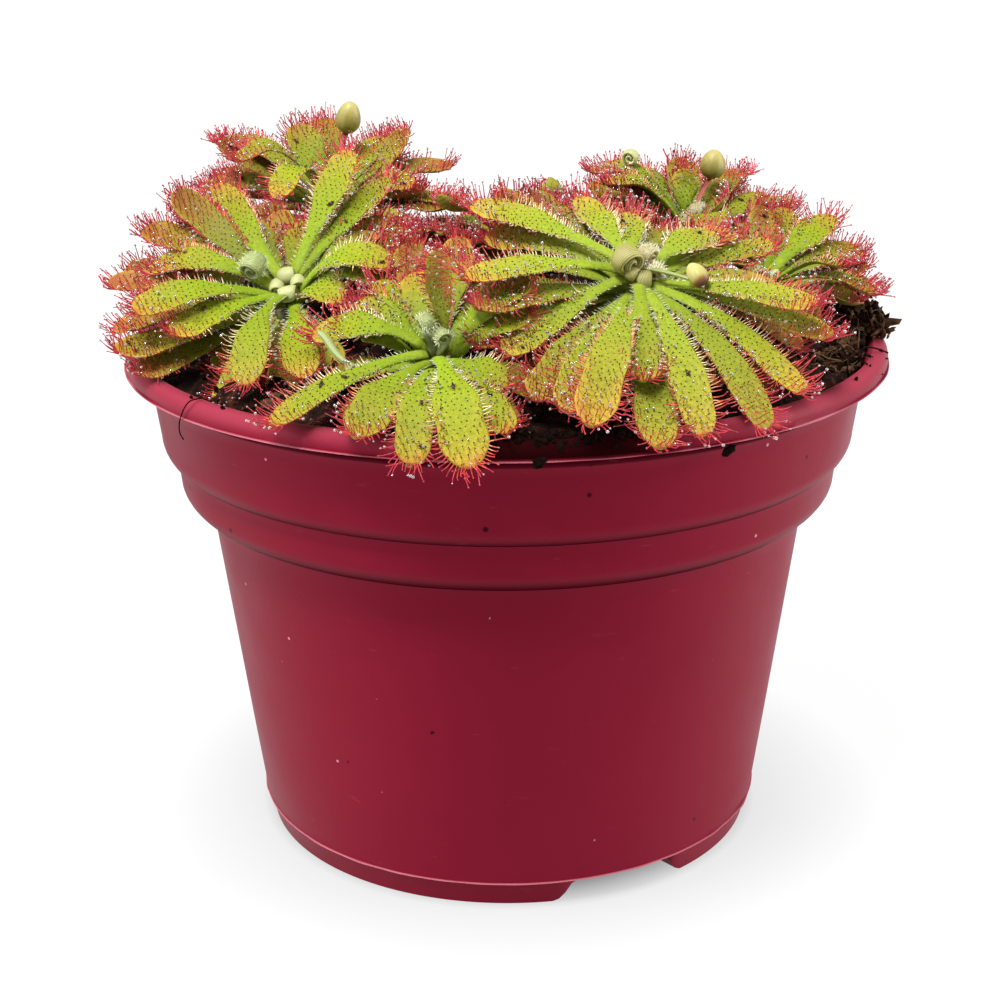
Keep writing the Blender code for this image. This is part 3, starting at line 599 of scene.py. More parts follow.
def stamp(shape, template, places, forward, radius, length, finish=0):
    """Add a copy of a ball at each place, drawn out along its forward direction."""
    vertices, faces = template
    first, second = axes_along(forward)
    copies = places[:, None, :]
    for direction, size, axis in ((first, radius, 0), (second, radius, 1), (forward, length, 2)):
        copies = copies + direction[:, None, :] * (vertices[:, axis, None] * size[:, None, None])
    numbers = faces + (np.arange(len(places)) * len(vertices))[:, None, None]
    finishes = np.repeat(np.broadcast_to(finish, len(places)), len(faces))
    shape.add(copies.reshape(-1, 3), numbers.reshape(-1, 3), finish=finishes)


def stalks(shape, places, forward, bend, length, low, high, finish):
    """Add three-sided tapered stalks that curve from forward towards bend. finish has a row for
    each stalk and a column for each segment. Returns their tips and the way that the tips point."""
    count, segments = finish.shape
    bend = np.broadcast_to(bend, forward.shape)
    share = np.linspace(0.0, 1.0, segments + 1)
    centre = (places[:, None, :] + forward[:, None, :] * (length[:, None] * share)[..., None]
              + bend[:, None, :] * (length[:, None] * share ** 2)[..., None])
    first, second = axes_along(normalised(forward + bend))
    radius = low + (high - low) * share
    angle = 2.0 * math.pi * np.arange(3)[:, None] / 3.0
    around = first[:, None, :] * np.cos(angle) + second[:, None, :] * np.sin(angle)
    ring = centre[:, :, None, :] + around[:, None, :, :] * radius[None, :, None, None]
    quads = ring_faces(segments + 1, 3) + (np.arange(count) * (segments + 1) * 3)[:, None, None]
    shape.add(ring.reshape(-1, 3), quads.reshape(-1, 4), finish=np.repeat(finish, 3, axis=1).reshape(-1))
    return centre[:, -1, :], normalised(forward + 2.0 * bend)


def add_fine_hairs(shape, places, forward, length):
    finish = np.full((len(places), 1), HAIR_FINISH)
    stalks(shape, places, forward, 0.0, length, HAIR_RADIUS, HAIR_TIP_RADIUS, finish)


def stalk_finishes(redness, segments, rng):
    """Slot numbers for each stalk's segments: paler at the base, redder to the tip."""
    share = np.arange(segments) / segments
    value = redness[:, None] + 0.4 * share[None, :] + rng.uniform(-0.12, 0.12, (len(redness), 1))
    return np.clip((value * STALK_FINISHES).astype(int), 0, STALK_FINISHES - 1)


def margin_places(leaf):
    """Shares along the leaf for tentacles at even steps along its edge, with the edge's outward lean
    in degrees from straight ahead."""
    share = np.linspace(FIRST_TENTACLE_SHARE, BLADE_END, 240)
    along = share * leaf.length
    across = leaf.half_width(share)
    reached = np.concatenate([[0.0], np.cumsum(np.hypot(np.diff(along), np.diff(across)))])
    wanted = np.arange(0.0, reached[-1], MARGIN_SPACING * (1.0 - OLD_CROWDING * leaf.flush))
    places = np.interp(wanted, reached, share)
    slope = np.interp(wanted, reached, np.gradient(across, along))
    lean = 90.0 + np.degrees(np.arctan(slope))
    return np.clip(places, 0.0, 1.0), np.clip(lean, 4.0, 86.0)


def add_margin_tentacles(leaf, tentacles, drops, rng):
    """Long tentacles along both edges of the blade, with a fan of them at its end."""
    share, lean = margin_places(leaf)
    end = np.linspace(-0.9, 0.9, TIP_TENTACLES)
    across = np.concatenate([np.full(len(share), EDGE), np.full(len(share), -EDGE), end])
    lean = np.concatenate([lean, lean, TIP_FAN * np.abs(end)])
    share = np.concatenate([share, share, np.full(TIP_TENTACLES, TIP_SHARE)])
    lean = np.radians(lean * 0.9 + rng.normal(0.0, LEAN_SPREAD, len(share)))
    keep = rng.uniform(size=len(share)) < KEPT_TENTACLES * leaf.density
    share, lean, across = share[keep], lean[keep], across[keep]
    place, facing, side, forward = leaf.top(share, across)
    tipward = smooth_step((share - FIRST_TENTACLE_SHARE) / (1.0 - FIRST_TENTACLE_SHARE))
    length = SHORT_TENTACLE + (LONG_TENTACLE - SHORT_TENTACLE) * tipward ** 1.7
    length = length * (1.0 - OLD_SHORTENING * leaf.flush) * rng.uniform(0.6, 1.12, len(share))
    out = side * (np.sign(across) * np.sin(lean))[:, None] + forward * np.cos(lean)[:, None]
    direction = normalised(out + facing * rng.uniform(0.0, 0.9, len(share))[:, None])
    bend = (facing * rng.uniform(0.0, 0.45, len(share))[:, None]
            - out * rng.uniform(0.0, 0.35, len(share))[:, None]
            + rng.normal(0.0, 0.06, (len(share), 3)))
    redness = np.clip(leaf.flush * 0.8 + 0.7 * tipward ** 2.6 - 0.1, 0.0, 1.0)
    segments = 3 if leaf.flush < 0.45 and leaf.density > SKIRT_DENSITY else 2
    finish = stalk_finishes(redness, segments, rng)
    tips, pointing = stalks(tentacles, place - facing * STALK_SINK, direction, bend, length,
                            STALK_RADIUS, STALK_TIP_RADIUS, finish)
    add_heads(tentacles, drops, tips, pointing, redness, WET_MARGIN, rng)


def add_heads(tentacles, drops, tips, pointing, redness, wet_share, rng):
    """A gland on each stalk, and a droplet round a share of them."""
    radius = HEAD_RADIUS * rng.uniform(0.8, 1.2, len(tips))
    finish = np.where(redness > 0.45, HEAD_FINISH, DARK_HEAD_FINISH)
    stamp(tentacles, bead(), tips, pointing, radius, radius * 1.7, finish)
    wet = rng.uniform(size=len(tips)) < wet_share
    size = DROP_RADIUS * rng.uniform(0.55, 1.25, wet.sum())
    stamp(drops, ball(1), tips[wet] + pointing[wet] * 0.05, pointing[wet], size, size * 1.08)


def gland_places(leaf, rng):
    """Shares along and across the blade for staggered rows of glands, thinner near the stalk."""
    shares = []
    acrosses = []
    rows = np.arange(0.30 * leaf.length, TIP_SHARE * leaf.length, ROW_SPACING) / leaf.length
    for number, share in enumerate(rows):
        step = GLAND_SPACING / max(leaf.half_width(np.array([share]))[0], 0.5)
        line = np.arange(-0.86 + (number % 2) * step / 2.0, 0.86, step)
        thin = 0.25 + 0.75 * smooth_step((share - 0.28) / 0.22)
        line = line[rng.uniform(size=len(line)) < thin * leaf.density]
        shares.append(np.full(len(line), share))
        acrosses.append(line)
    share = np.concatenate(shares)
    share = share + rng.normal(0.0, 0.005, len(share))
    return share, np.clip(np.concatenate(acrosses) + rng.normal(0.0, 0.03, len(share)), -0.92, 0.92)


def add_glands(leaf, tentacles, drops, rng):
    """Low glands on the upper side of the blade, and short stalked ones towards its end and edges."""
    share, across = gland_places(leaf, rng)
    place, facing, side, forward = leaf.top(share, across)
    tipward = smooth_step((share - 0.45) / 0.55)
    outer = np.maximum(np.abs(across) ** 2, smooth_step((share - 0.82) / 0.18))
    height = 0.07 + 0.12 * tipward + 0.8 * outer * tipward + 0.75 * leaf.flush * tipward
    height = height * rng.uniform(0.75, 1.2, len(share))
    leanness = (side * across[:, None] + forward * (0.6 * tipward)[:, None]) * 0.55
    direction = normalised(facing + leanness + rng.normal(0.0, 0.12, (len(share), 3)))
    redness = np.clip(leaf.flush * 0.8 + 0.55 * outer * tipward - 0.1, 0.0, 1.0)
    low = height < LOW_GLAND
    size = GLAND_RADIUS * rng.uniform(0.75, 1.15, low.sum())
    stamp(tentacles, bead(), place[low] + facing[low] * 0.05, facing[low], size, size, DARK_HEAD_FINISH)
    wet = rng.uniform(size=low.sum()) < WET_LOW
    size = DROP_RADIUS * rng.uniform(0.5, 0.9, wet.sum())
    stamp(drops, ball(1), place[low][wet] + facing[low][wet] * 0.08, facing[low][wet], size, size)
    tall = ~low
    finish = stalk_finishes(redness[tall] + 0.05, 1, rng)
    tips, pointing = stalks(tentacles, place[tall] - facing[tall] * 0.1, direction[tall], 0.0,
                            height[tall] + 0.1, STALK_RADIUS * 0.7, STALK_TIP_RADIUS, finish)
    add_heads(tentacles, drops, tips, pointing, redness[tall] * 0.9, WET_TALL, rng)


def add_hairs(leaf, tentacles, rng):
    """Fine pale hairs along both edges of the leaf stalk."""
    share = np.tile(np.arange(1.6 / leaf.length, 0.46, HAIR_SPACING / leaf.length), 2)
    hand = np.repeat([1.0, -1.0], len(share) // 2)
    share = np.clip(share + rng.normal(0.0, 0.006, len(share)), 0.02, 0.5)
    place, facing, side, forward = leaf.top(share, hand * 0.93)
    direction = normalised(side * hand[:, None] + facing * rng.uniform(0.1, 0.8, (len(share), 1))
                           + forward * rng.uniform(-0.1, 0.6, (len(share), 1)))
    size = HAIR_LENGTH * rng.uniform(0.6, 1.5, len(share))
    add_fine_hairs(tentacles, place - facing * 0.05, direction, size)


def add_midges(leaf, tentacles, rng):
    """Small dark midges that the leaf has caught, each a body with a thinner part across it."""
    count = int(rng.integers(0, 3)) if leaf.density == 1.0 and rng.uniform() < MIDGE_CHANCE else 0
    if count == 0:
        return
    share = rng.uniform(0.5, 0.92, count)
    place, facing, side, forward = leaf.top(share, rng.uniform(-0.6, 0.6, count))
    body = normalised(side * rng.normal(size=(count, 1)) + forward * rng.normal(size=(count, 1)))
    across = normalised(np.cross(body, facing) + body * 0.4)
    length = rng.uniform(0.28, 0.6, count)
    for pointing, thick, long in ((body, 0.16, length), (across, 0.07, length * 0.8)):
        thickness = np.full(count, thick)
        stamp(tentacles, ball(1), place + facing * 0.2, pointing, thickness, long, DARK_HEAD_FINISH)


def add_roll(plan, roll, buds, tentacles, rng):
    """A young leaf that is still coiled up inward, like a watch spring."""
    angle, distance, height, width, coil, look = roll
    turn, crown = rosette_axes(plan)
    heading, side = level_heading(angle)
    stem = np.linspace(0.0, 1.0, 7)[:-1, None]
    foot = np.array([max(distance - 1.6, 0.2), -1.2])
    shoulder = np.array([distance + coil, height])
    rise = foot + (shoulder - foot) * stem + np.array([0.25, 0.0]) * np.sin(math.pi * stem)
    wind = np.linspace(0.0, math.radians(COIL_DEGREES), 34)
    radius = coil * (1.0 - 0.86 * wind / wind[-1])
    coiled = np.stack([distance + radius * np.cos(wind), height + radius * np.sin(wind)], axis=-1)
    flat = np.concatenate([rise, coiled])
    centre = flat[:, 0:1] * heading + flat[:, 1:2] * UPWARD
    up = normalised(np.cross(normalised(np.gradient(centre, axis=0)), side)) @ turn.T
    side = side @ turn.T
    share = np.linspace(0.0, 1.0, len(centre))
    wide = (0.45 + (width / 2.0 - 0.45) * smooth_step(share / 0.35)) * (1.0 - 0.25 * share)
    half = 0.32 * coil * (1.0 - 0.4 * share)
    world = centre @ turn.T + crown
    swept(buds, world, side, up, wide, half, 12, along=share, look=BUD_LOOKS[look], tone=rng.uniform())
    if look in HAIRS_ON_ROLLS:
        count = HAIRS_ON_ROLLS[look]
        row = rng.integers(4, 20, count)
        across = rng.uniform(-1.0, 1.0, count)
        facing = -up[row]
        place = world[row] + side * (wide[row] * across)[:, None]
        place = place + facing * (half[row] * np.sqrt(1.0 - across ** 2))[:, None]
        direction = normalised(facing + rng.normal(0.0, 0.35, (count, 3)))
        add_fine_hairs(tentacles, place, direction, rng.uniform(0.25, 0.6, count))


def add_egg(plan, egg, buds):
    """A smooth egg-shaped bud on a stalk from the crown."""
    x, y, z, width, length, axis, look, stalk_look, stalk_radius = egg
    turn, crown = rosette_axes(plan)
    place = np.array([x, y, z])
    direction = np.array(axis) / np.linalg.norm(axis)
    along = direction @ turn.T
    first, second = axes_along(along[None, :])
    vertices, faces = ball(4)
    ahead = vertices[:, 2:3]
    ribs = 1.0 + 0.018 * np.cos(11.0 * np.arctan2(vertices[:, 1:2], vertices[:, 0:1])) * (1.0 - ahead ** 2)
    round_part = vertices[:, 0:1] * first + vertices[:, 1:2] * second
    skin = round_part * (1.0 - 0.16 * ahead) * ribs * width / 2.0 + along * ahead * length / 2.0
    buds.add(skin + place @ turn.T + crown, faces,
             along=(vertices[:, 2] + 1.0) / 2.0, look=BUD_LOOKS[look], tone=0.5)
    share = np.linspace(0.0, 1.0, 10)
    foot = place - direction * length * 0.42
    centre = share[:, None] * foot + np.sin(math.pi * share)[:, None] * np.array([-0.3, 0.0, 0.4])
    swept(buds, centre @ turn.T + crown, first, second, stalk_radius, stalk_radius, 10,
          along=share, look=BUD_LOOKS[stalk_look], tone=0.5)


def smooth_course(points, count):
    """Evenly many points along a rounded line through the given ones."""
    points = np.array(points)
    share = np.linspace(0.0, 1.0, len(points))
    fine = np.linspace(0.0, 1.0, count)
    course = np.stack([np.interp(fine, share, column) for column in points.T], axis=-1)
    for _ in range(4):
        course[1:-1] = (course[:-2] + course[1:-1] + course[2:]) / 3.0
    return course


def cord(shape, centre, radius, points, finish=0, **values):
    """Add a round skin along a line."""
    side, up = axes_along(normalised(np.gradient(centre, axis=0)))
    swept(shape, centre, side, up, radius, radius, points, finish=finish, **values)


def add_wand(wand, buds):
    """A slender young leaf, rolled up lengthwise, through the given points in mm."""
    share = np.linspace(0.0, 1.0, 16)
    blunt = np.sqrt(np.clip(1.0 - share ** 14, 0.02, 1.0))
    radius = WAND_RADIUS * (0.6 + 0.4 * smooth_step(share * 1.6)) * blunt
    cord(buds, smooth_course(wand, len(share)), radius, 12, along=share, look=BUD_LOOKS["silver"], tone=0.5)


def add_stem(plan, buds):
    """The short stem under a crown, rough with the stubs of old leaves."""
    x, y, z = plan["crown"]
    share = np.linspace(0.0, 1.0, 12)
    height = STEM_FOOT + (z - STEM_TOP_DROP - STEM_FOOT) * share
    centre = np.stack([np.full(len(share), x), np.full(len(share), y), height], axis=-1)
    radius = STEM_RADIUS * (1.0 + 0.10 * np.sin(np.arange(len(share)) * 2.3))
    swept(buds, centre, (1.0, 0.0, 0.0), (0.0, 1.0, 0.0), radius, radius, 12,
          along=share, look=BUD_LOOKS["bark"], tone=0.5)


def skirt_leaves(plan, rng):
    """The old, redder leaves that lie below the ones in the table."""
    made = []
    for first, last, count, reach, rise, flush in plan["skirts"]:
        for number in range(count):
            angle = first + (last - first) * (number + rng.uniform(0.2, 0.8)) / count
            entry = (angle, reach * rng.uniform(0.82, 1.08), rise + rng.uniform(-1.0, 1.0),
                     SKIRT_ARCH * rng.uniform(0.5, 1.3), SKIRT_WIDTH * rng.uniform(0.88, 1.1),
                     min(flush + rng.uniform(-0.25, 0.2), 1.0), rng.uniform(5.0, 40.0))
            made.append(Leaf(plan, entry, rng.uniform(0.9, 1.25), SKIRT_DENSITY, rng))
    made += [Leaf(plan, entry, 1.0, OLD_DENSITY, rng) for entry in plan.get("old", ())]
    return made


def build_rosette(name, plan, finishes, number):
    rng = np.random.default_rng(SEED + number)
    blades = Shape("along", "across", "under", "flush", "tone", "pale")
    buds = Shape("along", "across", "under", "look", "tone")
    tentacles = Shape()
    drops = Shape()
    last = len(plan["leaves"]) - 1
    leaves = [Leaf(plan, entry, index / last, 1.0, rng) for index, entry in enumerate(plan["leaves"])]
    for leaf in leaves + skirt_leaves(plan, rng):
        add_blade(blades, leaf)
        add_margin_tentacles(leaf, tentacles, drops, rng)
        add_glands(leaf, tentacles, drops, rng)
        add_hairs(leaf, tentacles, rng)
        add_midges(leaf, tentacles, rng)
    for roll in plan["rolls"]:
        add_roll(plan, roll, buds, tentacles, rng)
    for egg in plan.get("eggs", ()):
        add_egg(plan, egg, buds)
    for wand in plan.get("wands", ()):
        add_wand(wand, buds)
    add_stem(plan, buds)
    leafage = blades.make("leaves_" + name, "sundew_green", finishes["blade"])
    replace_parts(leafage, "rosette_" + name)
    buds.make("young_leaves_" + name, "sundew_green", finishes["bud"])
    tentacles.make("tentacles_" + name, "sundew_green", *finishes["stalks"])
    drops.make("droplets_" + name, "sundew_green", finishes["drop"])


def curved_edge(low, high):
    """Points of a convex rounded under-edge from a low inner point up to a high outer point."""
    start = math.radians(EDGE_START)
    points = []
    for angle in np.linspace(start, math.pi / 2.0, EDGE_STEPS + 1):
        share_out = (math.sin(angle) - math.sin(start)) / (1.0 - math.sin(start))
        share_up = (math.cos(start) - math.cos(angle)) / math.cos(start)
        points.append((low[0] + (high[0] - low[0]) * share_out, low[1] + (high[1] - low[1]) * share_up))
    return points


def near(radius, height, *offsets):
    """Points close to a corner, from how far each lies outward and upward of it."""
    return [(radius + out, height + up) for out, up in offsets]


def pot_profile():
    """(radius, height) points from under the floor's middle, up the outside and down the inside."""
    foot = [(0.0, FOOT_HEIGHT)] + near(FOOT_INNER_RADIUS, FOOT_HEIGHT, (-0.3, 0.0), (0.0, -0.05))
    foot += near(FOOT_INNER_RADIUS, 0.0, (0.1, 0.0), (0.4, 0.0))
    foot += near(FOOT_RADIUS, 0.0, (-0.25, 0.0), (-0.05, 0.05), (0.0, 0.3))
    foot += near(FOOT_TOP_RADIUS, FOOT_HEIGHT, (-0.08, -0.35), (0.0, -0.14), (FLASH, -0.07))
    wall = near(BODY_FOOT_RADIUS, FOOT_HEIGHT, (FLASH, 0.0), (0.7 * FLASH, 0.08), (0.0, 0.16), (0.03, 0.5))
    for share in (0.2, 0.4, 0.6, 0.8, 0.95):
        wall.append((BODY_FOOT_RADIUS + (BODY_TOP_RADIUS - BODY_FOOT_RADIUS) * share,
                     FOOT_HEIGHT + (BODY_TOP_HEIGHT - FOOT_HEIGHT) * share))
    wall += near(BODY_TOP_RADIUS, BODY_TOP_HEIGHT, (-0.02, -0.15))
    wall += curved_edge((BODY_TOP_RADIUS + 0.05, BODY_TOP_HEIGHT), (BAND_RADIUS, BAND_BOTTOM))
    wall += near(BAND_TOP_RADIUS, BAND_TOP_HEIGHT, (-0.1, -1.2), (0.0, -0.12))
    wall += curved_edge((BAND_TOP_RADIUS + 0.05, BAND_TOP_HEIGHT), (COLLAR_RADIUS, COLLAR_BOTTOM))
    wall += near(COLLAR_RADIUS, COLLAR_BOTTOM, (0.3, 2.2))
    wall += near(COLLAR_TOP_RADIUS, COLLAR_TOP_HEIGHT, (-0.2, -1.4), (-0.03, -0.2), (0.15, 0.0), (1.4, 0.8))
    lip = near(LIP_RADIUS, LIP_FLASH_HEIGHT, (-0.5, -0.16), (-0.05, -0.10), (FLASH, 0.0))
    lip += near(LIP_RADIUS, LIP_FLASH_HEIGHT, (0.6 * FLASH, 0.1), (-0.04, 0.2))
    lip += near(LIP_RADIUS, LIP_MIDDLE_HEIGHT, (0.0, 0.0), (-0.1, 0.5))
    lip += near(LIP_RADIUS, LIP_TOP_HEIGHT, (-0.4, -0.35), (-0.8, -0.05), (-1.3, 0.0))
    lip += near(LIP_INNER_RADIUS, LIP_TOP_HEIGHT, (0.2, -0.05), (0.0, -0.3))
    inside = near(COLLAR_TOP_RADIUS - WALL, COLLAR_TOP_HEIGHT, (0.1, 0.3), (0.0, 0.0))
    inside += near(COLLAR_RADIUS - WALL, COLLAR_BOTTOM, (0.0, 0.4))
    inside += near(BAND_RADIUS - WALL, BAND_BOTTOM, (0.0, 0.4))
    inside += near(BODY_TOP_RADIUS - WALL, BODY_TOP_HEIGHT, (0.0, 0.6))
    floor = FOOT_HEIGHT + BASE_THICKNESS
    inside += near(BODY_FOOT_RADIUS - WALL, floor, (0.2, 0.6), (-0.5, 0.0)) + [(0.0, floor)]
    return foot + wall + lip + inside


def foot_level(angle_degrees):
    """Height of the foot ring's underside: on the ground along the three arcs, raised in the gaps."""
    pitch = 360.0 / FOOT_COUNT
    away = abs((angle_degrees - FIRST_FOOT_ANGLE + pitch / 2.0) % pitch - pitch / 2.0)
    share = min(max((away - FOOT_ARC / 2.0) / FOOT_END_SLANT, 0.0), 1.0)
    rounded = 1.0 - math.sqrt(1.0 - share * share)
    return (FOOT_HEIGHT - 0.06) * (0.4 * share + 0.6 * rounded)


def flash_wobble(radius, height, angle):
    """How far the two moulding lines stray from round, in mm, at an angle in radians."""
    near_lip = abs(height - LIP_FLASH_HEIGHT) < 0.11 and radius > LIP_RADIUS
    near_foot = abs(height - FOOT_HEIGHT) < 0.09 and radius > FOOT_TOP_RADIUS
    if not (near_lip or near_foot):
        return 0.0
    return FLASH_WOBBLE * noise.noise(Vector((*polar(FLASH_WAVES, angle), height)))


def pot_ring(mesh_data, radius, height):
    """One ring of the pot's vertices, or a single one on its axis."""
    ring = []
    for step in range(1 if radius == 0.0 else POT_SIDES):
        degrees = 360.0 * step / POT_SIDES
        wobble = flash_wobble(radius, height, math.radians(degrees))
        level = height
        if radius > FOOT_INNER_RADIUS and height < FOOT_HEIGHT - 0.2:
            level = max(height, foot_level(degrees) + height * 0.01)
        if height > BODY_TOP_HEIGHT:
            level += wobble
        x, y = polar(radius + wobble, math.radians(degrees))
        ring.append(mesh_data.verts.new((x * MM, y * MM, level * MM)))
    return ring


def build_pot(finish):
    mesh_data = bmesh.new()
    rings = [pot_ring(mesh_data, radius, height) for radius, height in pot_profile()]
    for low, high in zip(rings, rings[1:]):
        for step in range(POT_SIDES):
            following = (step + 1) % POT_SIDES
            if len(low) == 1:
                corners = (low[0], high[step], high[following])
            elif len(high) == 1:
                corners = (low[step], low[following], high[0])
            else:
                corners = (low[step], low[following], high[following], high[step])
            mesh_data.faces.new(corners)
    bmesh.ops.recalc_face_normals(mesh_data, faces=mesh_data.faces)
    pot = placed("nursery_pot", finished_mesh("nursery_pot", mesh_data, finish))
    cut_drains(pot, finish)
    pot.data.shade_smooth()
    pot.data.set_sharp_from_angle(angle=math.radians(SHARP_ANGLE))
    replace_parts(pot, "pot")
    finish_piece(pot)


def finished_mesh(name, mesh_data, finish):
    mesh = bpy.data.meshes.new(name)
    mesh_data.to_mesh(mesh)
    mesh_data.free()
    mesh.materials.append(finish)
    return mesh


def cut_drains(pot, finish):
    """Cut the drainage holes out of the pot's floor in one step."""
    cutters = bmesh.new()
    for number in range(DRAIN_COUNT):
        x, y = polar(DRAIN_CIRCLE, 2.0 * math.pi * number / DRAIN_COUNT)
        place = Matrix.Translation(Vector((x, y, FOOT_HEIGHT)) * MM)
        bmesh.ops.create_cone(cutters, cap_ends=True, segments=DRAIN_SIDES, radius1=DRAIN_RADIUS * MM,
                              radius2=DRAIN_RADIUS * MM, depth=2.0 * FOOT_HEIGHT * MM, matrix=place)
    cutter = placed("drain_cutter", finished_mesh("drain_cutter", cutters, finish))
    step = pot.modifiers.new("drains", "BOOLEAN")
    step.operation = "DIFFERENCE"
    step.object = cutter
    step.solver = "EXACT"
    drained = bpy.data.meshes.new_from_object(pot.evaluated_get(bpy.context.evaluated_depsgraph_get()))
    pot.modifiers.clear()
    pot.data = drained
    bpy.data.objects.remove(cutter, do_unlink=True)


def soil_height(x, y):
    """Height of the peat before its crumbs: a low dome with a mound at the right."""
    share = math.hypot(x, y) / SOIL_DOME_RADIUS
    rough = math.sin(0.55 * x + 1.3) * math.cos(0.62 * y - 0.4) + 0.6 * math.sin(1.1 * x - 0.9 * y)
    mound = heap(x, y, MOUND_PLACE, MOUND_HEIGHT, MOUND_SPREAD)
    return SOIL_EDGE_HEIGHT + SOIL_DOME * (1.0 - share ** 2) + mound + SOIL_ROUGHNESS * rough


def heap(x, y, place, height, spread):
    distance = math.hypot(x - place[0], y - place[1])
    return height * math.exp(-((distance / spread) ** 2))


def rough_height(x, y):
    """Height of the peat with its lumps and its bank at the right."""
    lumps = sum(height * noise.noise(Vector((x / size, y / size, layer)))
                for height, size, layer in SOIL_LUMPS)
    return soil_height(x, y) + lumps + heap(x, y, BANK_PLACE, BANK_HEIGHT, BANK_SPREAD)


def build_soil(finish):
    """The body of peat: a rough top in rings, and sides that follow the pot's inside down."""
    angles = [2.0 * math.pi * step / SOIL_SIDES for step in range(SOIL_SIDES)]
    vertices = []
    for number in range(1, SOIL_RINGS + 1):
        spots = [polar(SOIL_EDGE_RADIUS * number / SOIL_RINGS, angle) for angle in angles]
        vertices += [(x, y, rough_height(x, y)) for x, y in spots]
    sides = [(COLLAR_TOP_RADIUS, SOIL_SIDE_TOP), (COLLAR_RADIUS, COLLAR_BOTTOM), (BAND_RADIUS, BAND_BOTTOM),
             (BODY_TOP_RADIUS, BODY_TOP_HEIGHT), (BODY_FOOT_RADIUS, SOIL_FLOOR)]
    for outside, height in sides:
        vertices += [(*polar(outside - WALL - SOIL_CLEARANCE, angle), height) for angle in angles]
    vertices += [(0.0, 0.0, rough_height(0.0, 0.0)), (0.0, 0.0, SOIL_FLOOR)]
    rings = SOIL_RINGS + len(sides)
    shape = Shape()
    faces = (ring_faces(rings, SOIL_SIDES), cap_faces(rings, SOIL_SIDES))
    shape.add(np.array(vertices), *(corners[:, ::-1] for corners in faces))
    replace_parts(shape.make("peat", "dark_peat", finish), "soil")


def bank_top(radius, angle):
    """Height for what lies on the bank of peat, which also spills onto the lip."""
    if radius < SOIL_EDGE_RADIUS:
        return rough_height(*polar(radius, angle)) + 0.15
    edge = rough_height(*polar(SOIL_EDGE_RADIUS, angle))
    share = min((radius - SOIL_EDGE_RADIUS) / (SPILL_EDGE_RADIUS - SOIL_EDGE_RADIUS), 1.0)
    return max(edge + (LIP_TOP_HEIGHT + 0.1 - edge) * share ** 2, LIP_TOP_HEIGHT + 0.1)


def add_lump(crumbs, place, size, finishes, rng, most_turn=6.28, subdivisions=1):
    """A lumpy crumb or clod, turned at random, in one of a run of finishes."""
    vertices, faces = ball(subdivisions)
    axis = Vector(rng.normal(size=3)).normalized()
    turn = np.array(Matrix.Rotation(rng.uniform(0.0, 1.0) * most_turn, 3, axis))
    lumpy = vertices * rng.uniform(0.75, 1.2, (len(vertices), 1)) * size
    crumbs.add(lumpy @ turn.T + np.array(place), faces, finish=int(rng.integers(*finishes)))


def add_loose_crumbs(crumbs, finishes, rng):
    """Crumbs all over the peat, and more on its bank, whose rear half spills onto the lip."""
    radius = SOIL_EDGE_RADIUS * np.sqrt(rng.uniform(0.0, 0.985, CRUMB_COUNT))
    angle = rng.uniform(0.0, 2.0 * math.pi, CRUMB_COUNT)
    places = [polar(*spot) for spot in zip(radius, angle)]
    heights = [rough_height(x, y) + 0.1 for x, y in places]
    sizes = CRUMB_SIZE + CRUMB_SIZE_SPREAD * rng.uniform(size=CRUMB_COUNT) ** 3
    angle = np.radians(rng.uniform(*BANK_ANGLES, BANK_CRUMB_COUNT))
    reach = BANK_LENGTH + BANK_OVERHANG * smooth_step((angle + 0.1) / 0.1)
    radius = BANK_START_RADIUS + reach * rng.uniform(size=BANK_CRUMB_COUNT) ** 0.6
    places += [polar(*spot) for spot in zip(radius, angle)]
    heights += [bank_top(*spot) for spot in zip(radius, angle)]
    sizes = np.concatenate([sizes, rng.uniform(*BANK_CRUMB_SIZES, BANK_CRUMB_COUNT)])
    for (x, y), height, size in zip(places, heights, sizes):
        add_lump(crumbs, (x, y, height), size * rng.uniform(0.45, 1.25, 3), finishes, rng)


def add_clods(crumbs, finishes, rng):
    """Clods and flakes heaped on the right-hand lip, and one larger shard."""
    for angle in np.radians(rng.uniform(*CLOD_ANGLES, CLOD_COUNT)):
        radius = rng.uniform(*CLOD_RADII)
        fade = max(math.cos((angle - 0.05) * 6.0), 0.15)
        size = rng.uniform(0.26, 0.4) + 0.15 * fade
        height = LIP_TOP_HEIGHT + 0.2 * size + rng.uniform(0.0, CLOD_HEAP) * fade
        flake = size * rng.uniform((0.4, 0.4, 1.2), (0.9, 0.9, 2.6))
        add_lump(crumbs, (*polar(radius, angle), height), flake, finishes, rng)
    add_lump(crumbs, SHARD, np.array(SHARD_SIZE), (2, 3), rng, 0.0)


def add_spill_and_shade_crumbs(crumbs, rng):
    """Black crumbs on the lip in front, partly spilt peat and partly put there as painted shade, and single
    bits elsewhere on it.
    """
    for angle in np.radians(rng.uniform(*SPILL_AND_SHADE_ANGLES, SPILL_AND_SHADE_COUNT)):
        radius = rng.uniform(*SPILL_AND_SHADE_RADII)
        height = LIP_TOP_HEIGHT + 0.05 - 1.9 * max(radius - 44.1, 0.0) ** 2
        size = rng.uniform(0.2, 0.5) * rng.uniform(0.6, 1.3, 3)
        add_lump(crumbs, (*polar(radius, angle), height), size, (0, 1), rng)
    for x, y, z, size in LIP_BITS:
        add_lump(crumbs, (x, y, z), size * np.array([0.8, 0.5, 1.0]), (0, 1), rng, subdivisions=2)


